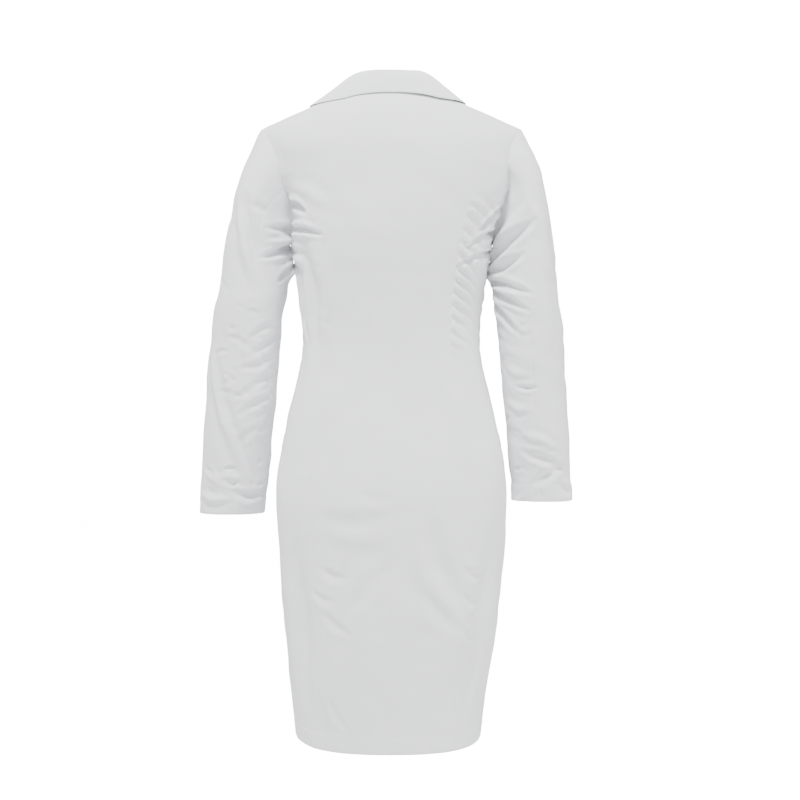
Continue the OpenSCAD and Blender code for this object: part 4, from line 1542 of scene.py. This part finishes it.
@dataclass(frozen=True)
class Studio:
    """Pale floor, soft lights and the camera behind the coat."""

    distance: float = 1.935
    lens: float = 58.0
    aim: tuple = (-0.0128, 0.0, -0.450)
    turn: float = 0.0
    floor: float = -1.40
    lit: tuple = (0, 0, -0.45)

    def build(self) -> None:
        """Makes the floor, the lights, the world and the camera."""
        self._floor()
        self._world()
        self._light("key", (0.5, 1.7, 2.8), 0.8, 275.0)
        self._light("left", (3.0, 1.1, 0.4), 2.0, 30.0)
        self._light("right", (-3.0, 1.1, -0.2), 2.0, 75.0)
        self._light("front", (0.6, -3.0, 1.4), 2.6, 60.0)
        self._camera()

    def _floor(self) -> None:
        """A wide plain pale floor."""
        r = 9.0
        z = self.floor
        mesh = bpy.data.meshes.new("floor")
        mesh.from_pydata([(-r, -r, z), (r, -r, z), (r, r, z), (-r, r, z)], [], [(0, 1, 2, 3)])
        mat = bpy.data.materials.new("Pale floor")
        mat.use_nodes = True
        shader = mat.node_tree.nodes["Principled BSDF"]
        shader.inputs["Base Color"].default_value = (0.93, 0.93, 0.93, 1)
        shader.inputs["Roughness"].default_value = 0.9
        shader.inputs["Emission Color"].default_value = (1, 1, 1, 1)
        path = mat.node_tree.nodes.new("ShaderNodeLightPath")
        glow = math_node(mat.node_tree, "MULTIPLY", path.outputs["Is Camera Ray"], 15.0)
        mat.node_tree.links.new(glow, shader.inputs["Emission Strength"])
        mesh.materials.append(mat)
        obj = bpy.data.objects.new("floor", mesh)
        bpy.context.scene.collection.objects.link(obj)

    def _world(self) -> None:
        """White surroundings: bright to the camera, gentler as light."""
        world = bpy.data.worlds.new("studio")
        bpy.context.scene.world = world
        world.use_nodes = True
        t = world.node_tree
        back = t.nodes["Background"]
        back.inputs["Color"].default_value = (1, 1, 1, 1)
        path = t.nodes.new("ShaderNodeLightPath")
        level = math_node(t, "ADD", math_node(t, "MULTIPLY", path.outputs["Is Camera Ray"], 16.0), 0.80)
        t.links.new(level, back.inputs["Strength"])

    def _light(self, name: str, place: tuple, size: float, power: float) -> None:
        """A square area light aimed at the middle of the coat.

        Args: name: its name; place: where it stands; size: its side; power: watts.
        """
        data = bpy.data.lights.new(name, "AREA")
        data.shape, data.size, data.energy = "SQUARE", size, power
        obj = bpy.data.objects.new(name, data)
        obj.location = place
        obj.rotation_euler = (Vector(self.lit) - Vector(place)).to_track_quat("-Z", "Y").to_euler()
        bpy.context.scene.collection.objects.link(obj)

    def _camera(self) -> None:
        """The camera, level with the waist, behind the coat."""
        data = bpy.data.cameras.new("camera")
        data.lens, data.sensor_width = self.lens, 36.0
        data.clip_start, data.clip_end = 0.05, 60.0
        obj = bpy.data.objects.new("camera", data)
        turn = math.radians(self.turn)
        aim = Vector(self.aim)
        obj.location = aim + self.distance * Vector((math.sin(turn), math.cos(turn), 0))
        obj.rotation_euler = (aim - obj.location).to_track_quat("-Z", "Y").to_euler()
        bpy.context.scene.collection.objects.link(obj)
        bpy.context.scene.camera = obj


# ---------------------------------------------------------------- this coat's folds


def body_folds(b: Block) -> FoldField:
    """Folds of the coat's body as it hangs on a slim figure.

    Args: b: the block.
    Returns: the field.
    """
    def line(*places: tuple) -> tuple:
        """Cloth coordinates of places given as x and drop."""
        return tuple(back_at(b, x, d) for x, d in places)

    side = GIRTH * math.pi / 2
    low = GIRTH * b.back_princess
    folds = [
        Ladder(((-low - 0.006, 0.150), (-low + 0.004, 0.385)), -0.105, 0.0180, 0.0076, 0.55, 31),
        Ladder(((low, 0.170), (low, 0.360)), 0.05, 0.021, 0.0014, -0.3, 37),
        Ladder(((-low, 0.200), (-low, 0.360)), 0.016, 0.0195, 0.0014, 0.2, 41),
        Ladder(((side, 0.225), (side, 0.420)), -0.04, 0.024, 0.0012, 0.2, 43),
        Ladder(((-side, 0.225), (-side, 0.420)), 0.04, 0.023, 0.0016, 0.2, 47),
        Fold(line((0.160, 0.156), (0.140, 0.170), (0.128, 0.178)), -0.0098, 0.0055),
        Fold(line((0.154, 0.196), (0.126, 0.203), (0.100, 0.212)), -0.0103, 0.0047),
        Fold(line((0.150, 0.226), (0.130, 0.238), (0.122, 0.252)), -0.0030, 0.0060),
        Fold(line((0.148, 0.240), (0.134, 0.262), (0.128, 0.330), (0.120, 0.370)), -0.0057, 0.0093),
        Fold(line((0.150, 0.140), (0.120, 0.150), (0.090, 0.172)), 0.0020, 0.0100),
        Fold(line((-0.166, 0.140), (-0.146, 0.180), (-0.126, 0.208)), -0.0092, 0.0047),
        Fold(line((-0.156, 0.196), (-0.132, 0.212), (-0.106, 0.232)), -0.0080, 0.0043),
        Fold(line((-0.150, 0.228), (-0.124, 0.240), (-0.096, 0.258)), -0.0080, 0.0043),
        Fold(line((0.045, 0.584), (0.022, 0.590), (-0.002, 0.587)), -0.0013, 0.0080),
        Fold(line((0.095, 0.618), (0.050, 0.624), (-0.004, 0.616)), -0.0023, 0.0120),
        Fold(line((0.085, 0.642), (0.050, 0.650), (0.005, 0.645)), 0.0012, 0.0120),
        Fold(line((-0.004, 0.680), (0.030, 0.712), (0.060, 0.756)), -0.0022, 0.0100),
        Fold(line((0.012, 0.735), (0.026, 0.795), (0.044, 0.865)), 0.0014, 0.0150),
        Fold(line((0.100, 0.690), (0.082, 0.702), (0.064, 0.703)), -0.0025, 0.0060),
        Fold(line((0.112, 0.724), (0.094, 0.736), (0.078, 0.736)), -0.0022, 0.0060),
        Fold(line((0.096, 0.752), (0.078, 0.772), (0.056, 0.786)), -0.0022, 0.0060),
        Fold(line((0.086, 0.880), (0.074, 0.905), (0.058, 0.924)), -0.0015, 0.0060),
        Fold(line((-0.056, 0.610), (-0.068, 0.680), (-0.102, 0.748)), -0.0035, 0.0130),
        Fold(line((-0.034, 0.650), (-0.050, 0.700), (-0.074, 0.740)), 0.0019, 0.0120),
        Fold(line((-0.046, 0.724), (-0.068, 0.752), (-0.096, 0.784)), -0.0025, 0.0100),
        Fold(line((-0.102, 0.688), (-0.118, 0.702), (-0.136, 0.702)), -0.0025, 0.0065),
        Fold(line((-0.100, 0.726), (-0.114, 0.740), (-0.130, 0.740)), -0.0022, 0.0065),
        Fold(line((-0.100, 0.776), (-0.112, 0.792), (-0.124, 0.794)), -0.0021, 0.0065),
        Fold(line((0.130, 0.690), (0.132, 0.760), (0.122, 0.850)), -0.0022, 0.0130),
        Fold(line((-0.126, 0.800), (-0.120, 0.850), (-0.112, 0.900)), -0.0019, 0.0120),
        Fold(line((0.060, 0.400), (0.090, 0.455), (0.110, 0.530)), 0.0022, 0.0180),
        Fold(line((0.132, 0.215), (0.116, 0.290), (0.112, 0.375)), -0.0075, 0.0200),
        Fold(line((0.142, 0.640), (0.128, 0.760), (0.116, 0.900)), -0.0060, 0.0220),
        Fold(line((-0.142, 0.660), (-0.128, 0.760), (-0.116, 0.880)), -0.0040, 0.0200),
        Fold(line((-0.060, 0.400), (-0.095, 0.460), (-0.115, 0.540)), 0.0022, 0.0180),
        Fold(line((0.040, 0.470), (0.070, 0.500), (0.080, 0.545)), 0.0018, 0.0140),
        Fold(line((0.040, 0.100), (0.085, 0.130), (0.125, 0.175)), 0.0014, 0.0180),
        Fold(line((-0.045, 0.095), (-0.085, 0.130), (-0.120, 0.170)), 0.0014, 0.0180),
    ]
    return FoldField(tuple(folds), ground=0.0012, ground_size=0.10, seed=5)


def scattered(seed: int, count: int, box: tuple, lean: tuple, height: float) -> list:
    """Short creases at seeded random places, as in cloth that has been crushed.

    Args: seed: of the draw; count: how many; box: (across, across, drop, drop) in metres;
        lean: their least and greatest slope in radians; height: the deepest.
    Returns: the folds.
    """
    rng = np.random.default_rng(seed)
    out = []
    for _ in range(count):
        u, v = rng.uniform(box[0], box[1]), rng.uniform(box[2], box[3])
        angle, half = rng.uniform(*lean), rng.uniform(0.006, 0.017)
        sag = rng.uniform(-0.004, 0.004)
        du, dv = half * math.cos(angle), half * math.sin(angle)
        path = ((u - du, v - dv), (u, v + sag), (u + du, v + dv))
        out.append(Fold(path, -height * rng.uniform(0.35, 1.0), rng.uniform(0.0030, 0.0050)))
    return out


def sleeve_folds(hand: Hand) -> FoldField:
    """Folds of one sleeve: long drags from the armhole, short creases inside the elbow, a
    crumpled hem.

    Args: hand: which sleeve.
    Returns: the field.
    """
    r = SLEEVE_RADIUS * math.pi / 180

    def line(*places: tuple) -> tuple:
        """Cloth coordinates of places given as degrees round the sleeve and drop."""
        return tuple((a * r, d) for a, d in places)

    if hand is Hand.LEFT:
        folds = [
            Fold(line((45, 0.150), (72, 0.215), (98, 0.285)), 0.0045, 0.0080),
            Fold(line((62, 0.150), (90, 0.210), (108, 0.270)), -0.0036, 0.0065),
            Fold(line((178, 0.196), (140, 0.196), (108, 0.198)), -0.0090, 0.0055),
            Fold(line((182, 0.222), (145, 0.228), (108, 0.242)), -0.0085, 0.0055),
            Fold(line((184, 0.245), (165, 0.255), (142, 0.275)), -0.0070, 0.0050),
            Fold(line((180, 0.209), (145, 0.212), (112, 0.220)), 0.0060, 0.0055),
            Fold(line((150, 0.254), (180, 0.254), (210, 0.252)), 0.0120, 0.0140, 0.0),
            Fold(line((150, 0.229), (180, 0.229), (210, 0.228)), 0.0085, 0.0085, 0.0),
            Fold(line((30, 0.370), (60, 0.455), (101, 0.540), (136, 0.592)), 0.0040, 0.0075),
            Fold(line((42, 0.380), (72, 0.460), (112, 0.535)), -0.0026, 0.0060),
            Fold(line((144, 0.335), (122, 0.346), (100, 0.362)), -0.0025, 0.0050),
            Fold(line((164, 0.352), (138, 0.366), (108, 0.384)), -0.0026, 0.0050),
            Fold(line((148, 0.388), (120, 0.400), (90, 0.404)), -0.0025, 0.0050),
            Fold(line((172, 0.410), (140, 0.418), (98, 0.434)), -0.0026, 0.0050),
            Fold(line((130, 0.428), (108, 0.438), (82, 0.448)), -0.0021, 0.0050),
            Fold(line((152, 0.444), (125, 0.452), (94, 0.472)), -0.0024, 0.0050),
            Fold(line((130, 0.490), (112, 0.500), (96, 0.518)), -0.0016, 0.0055),
            Fold(line((30, 0.556), (70, 0.570), (110, 0.562)), 0.0024, 0.0065),
            Fold(line((90, 0.583), (120, 0.594), (160, 0.588)), -0.0040, 0.0055),
            Fold(line((20, 0.588), (55, 0.598), (90, 0.596)), 0.0036, 0.0055),
        ]
        folds.append(Ladder(((150 * r, 0.300), (150 * r, 0.500)), -0.06, 0.020, 0.0018, 0.5, 51))
        folds += scattered(71, 30, (55 * r, 170 * r, 0.31, 0.50), (-0.4, 1.0), 0.0017)
        folds += scattered(72, 12, (40 * r, 160 * r, 0.54, 0.60), (-0.6, 0.6), 0.0026)
        folds += scattered(73, 10, (20 * r, 90 * r, 0.16, 0.30), (0.5, 1.4), 0.0022)
    else:
        folds = [
            Fold(line((178, 0.252), (125, 0.218), (72, 0.188)), -0.0085, 0.0065),
            Fold(line((184, 0.262), (140, 0.256), (98, 0.238)), -0.0095, 0.0060),
            Fold(line((184, 0.272), (130, 0.281), (88, 0.295)), -0.0085, 0.0052),
            Fold(line((180, 0.284), (130, 0.302), (96, 0.320)), -0.0075, 0.0050),
            Fold(line((180, 0.300), (142, 0.328), (114, 0.354)), -0.0070, 0.0048),
            Fold(line((170, 0.240), (120, 0.200), (80, 0.165)), 0.0040, 0.0075),
            Fold(line((155, 0.259), (182, 0.259), (210, 0.256)), 0.0108, 0.0160, 0.0),
            Fold(line((155, 0.230), (180, 0.230), (210, 0.229)), 0.0085, 0.0090, 0.0),
            Fold(line((80, 0.150), (55, 0.200), (40, 0.270)), 0.0028, 0.0100),
            Fold(line((70, 0.230), (60, 0.300), (62, 0.380)), 0.0020, 0.0110),
            Fold(line((130, 0.430), (108, 0.433), (90, 0.431)), -0.0046, 0.0036),
            Fold(line((155, 0.395), (125, 0.412), (102, 0.414)), 0.0022, 0.0060),
            Fold(line((155, 0.452), (128, 0.464), (104, 0.462)), 0.0022, 0.0060),
            Fold(line((125, 0.525), (88, 0.536), (44, 0.556)), -0.0042, 0.0065),
            Fold(line((114, 0.578), (80, 0.560), (44, 0.546)), -0.0040, 0.0065),
            Fold(line((130, 0.500), (92, 0.508), (60, 0.522)), 0.0030, 0.0065),
            Fold(line((60, 0.575), (40, 0.585), (20, 0.582)), -0.0030, 0.0060),
        ]
        folds.append(Ladder(((150 * r, 0.300), (150 * r, 0.500)), -0.05, 0.022, 0.0012, 0.5, 53))
        folds += scattered(74, 10, (50 * r, 150 * r, 0.50, 0.60), (-0.7, 0.5), 0.0016)
        folds += scattered(75, 6, (90 * r, 165 * r, 0.33, 0.48), (-0.5, 0.4), 0.0012)
    return FoldField(tuple(folds), ground=0.0014, ground_size=0.07, seed=61 + hand.value)


def main() -> None:
    """Builds the coat, piece by piece, and the studio around it."""
    block = Block()
    wardrobe = Wardrobe()
    folds = body_folds(block)
    for hand in Hand:
        Bodice(hand, block, folds).build(wardrobe)
        Sleeve.hanging(hand, block).build(wardrobe)
    Collar(block).build(wardrobe)
    NeckFacing(block).build(wardrobe)
    HangerLoop().build(wardrobe)
    dress_hardware(wardrobe)
    Studio().build()


if __name__ == "__main__":
    logging.basicConfig(level=logging.INFO, format="%(message)s")
    main()
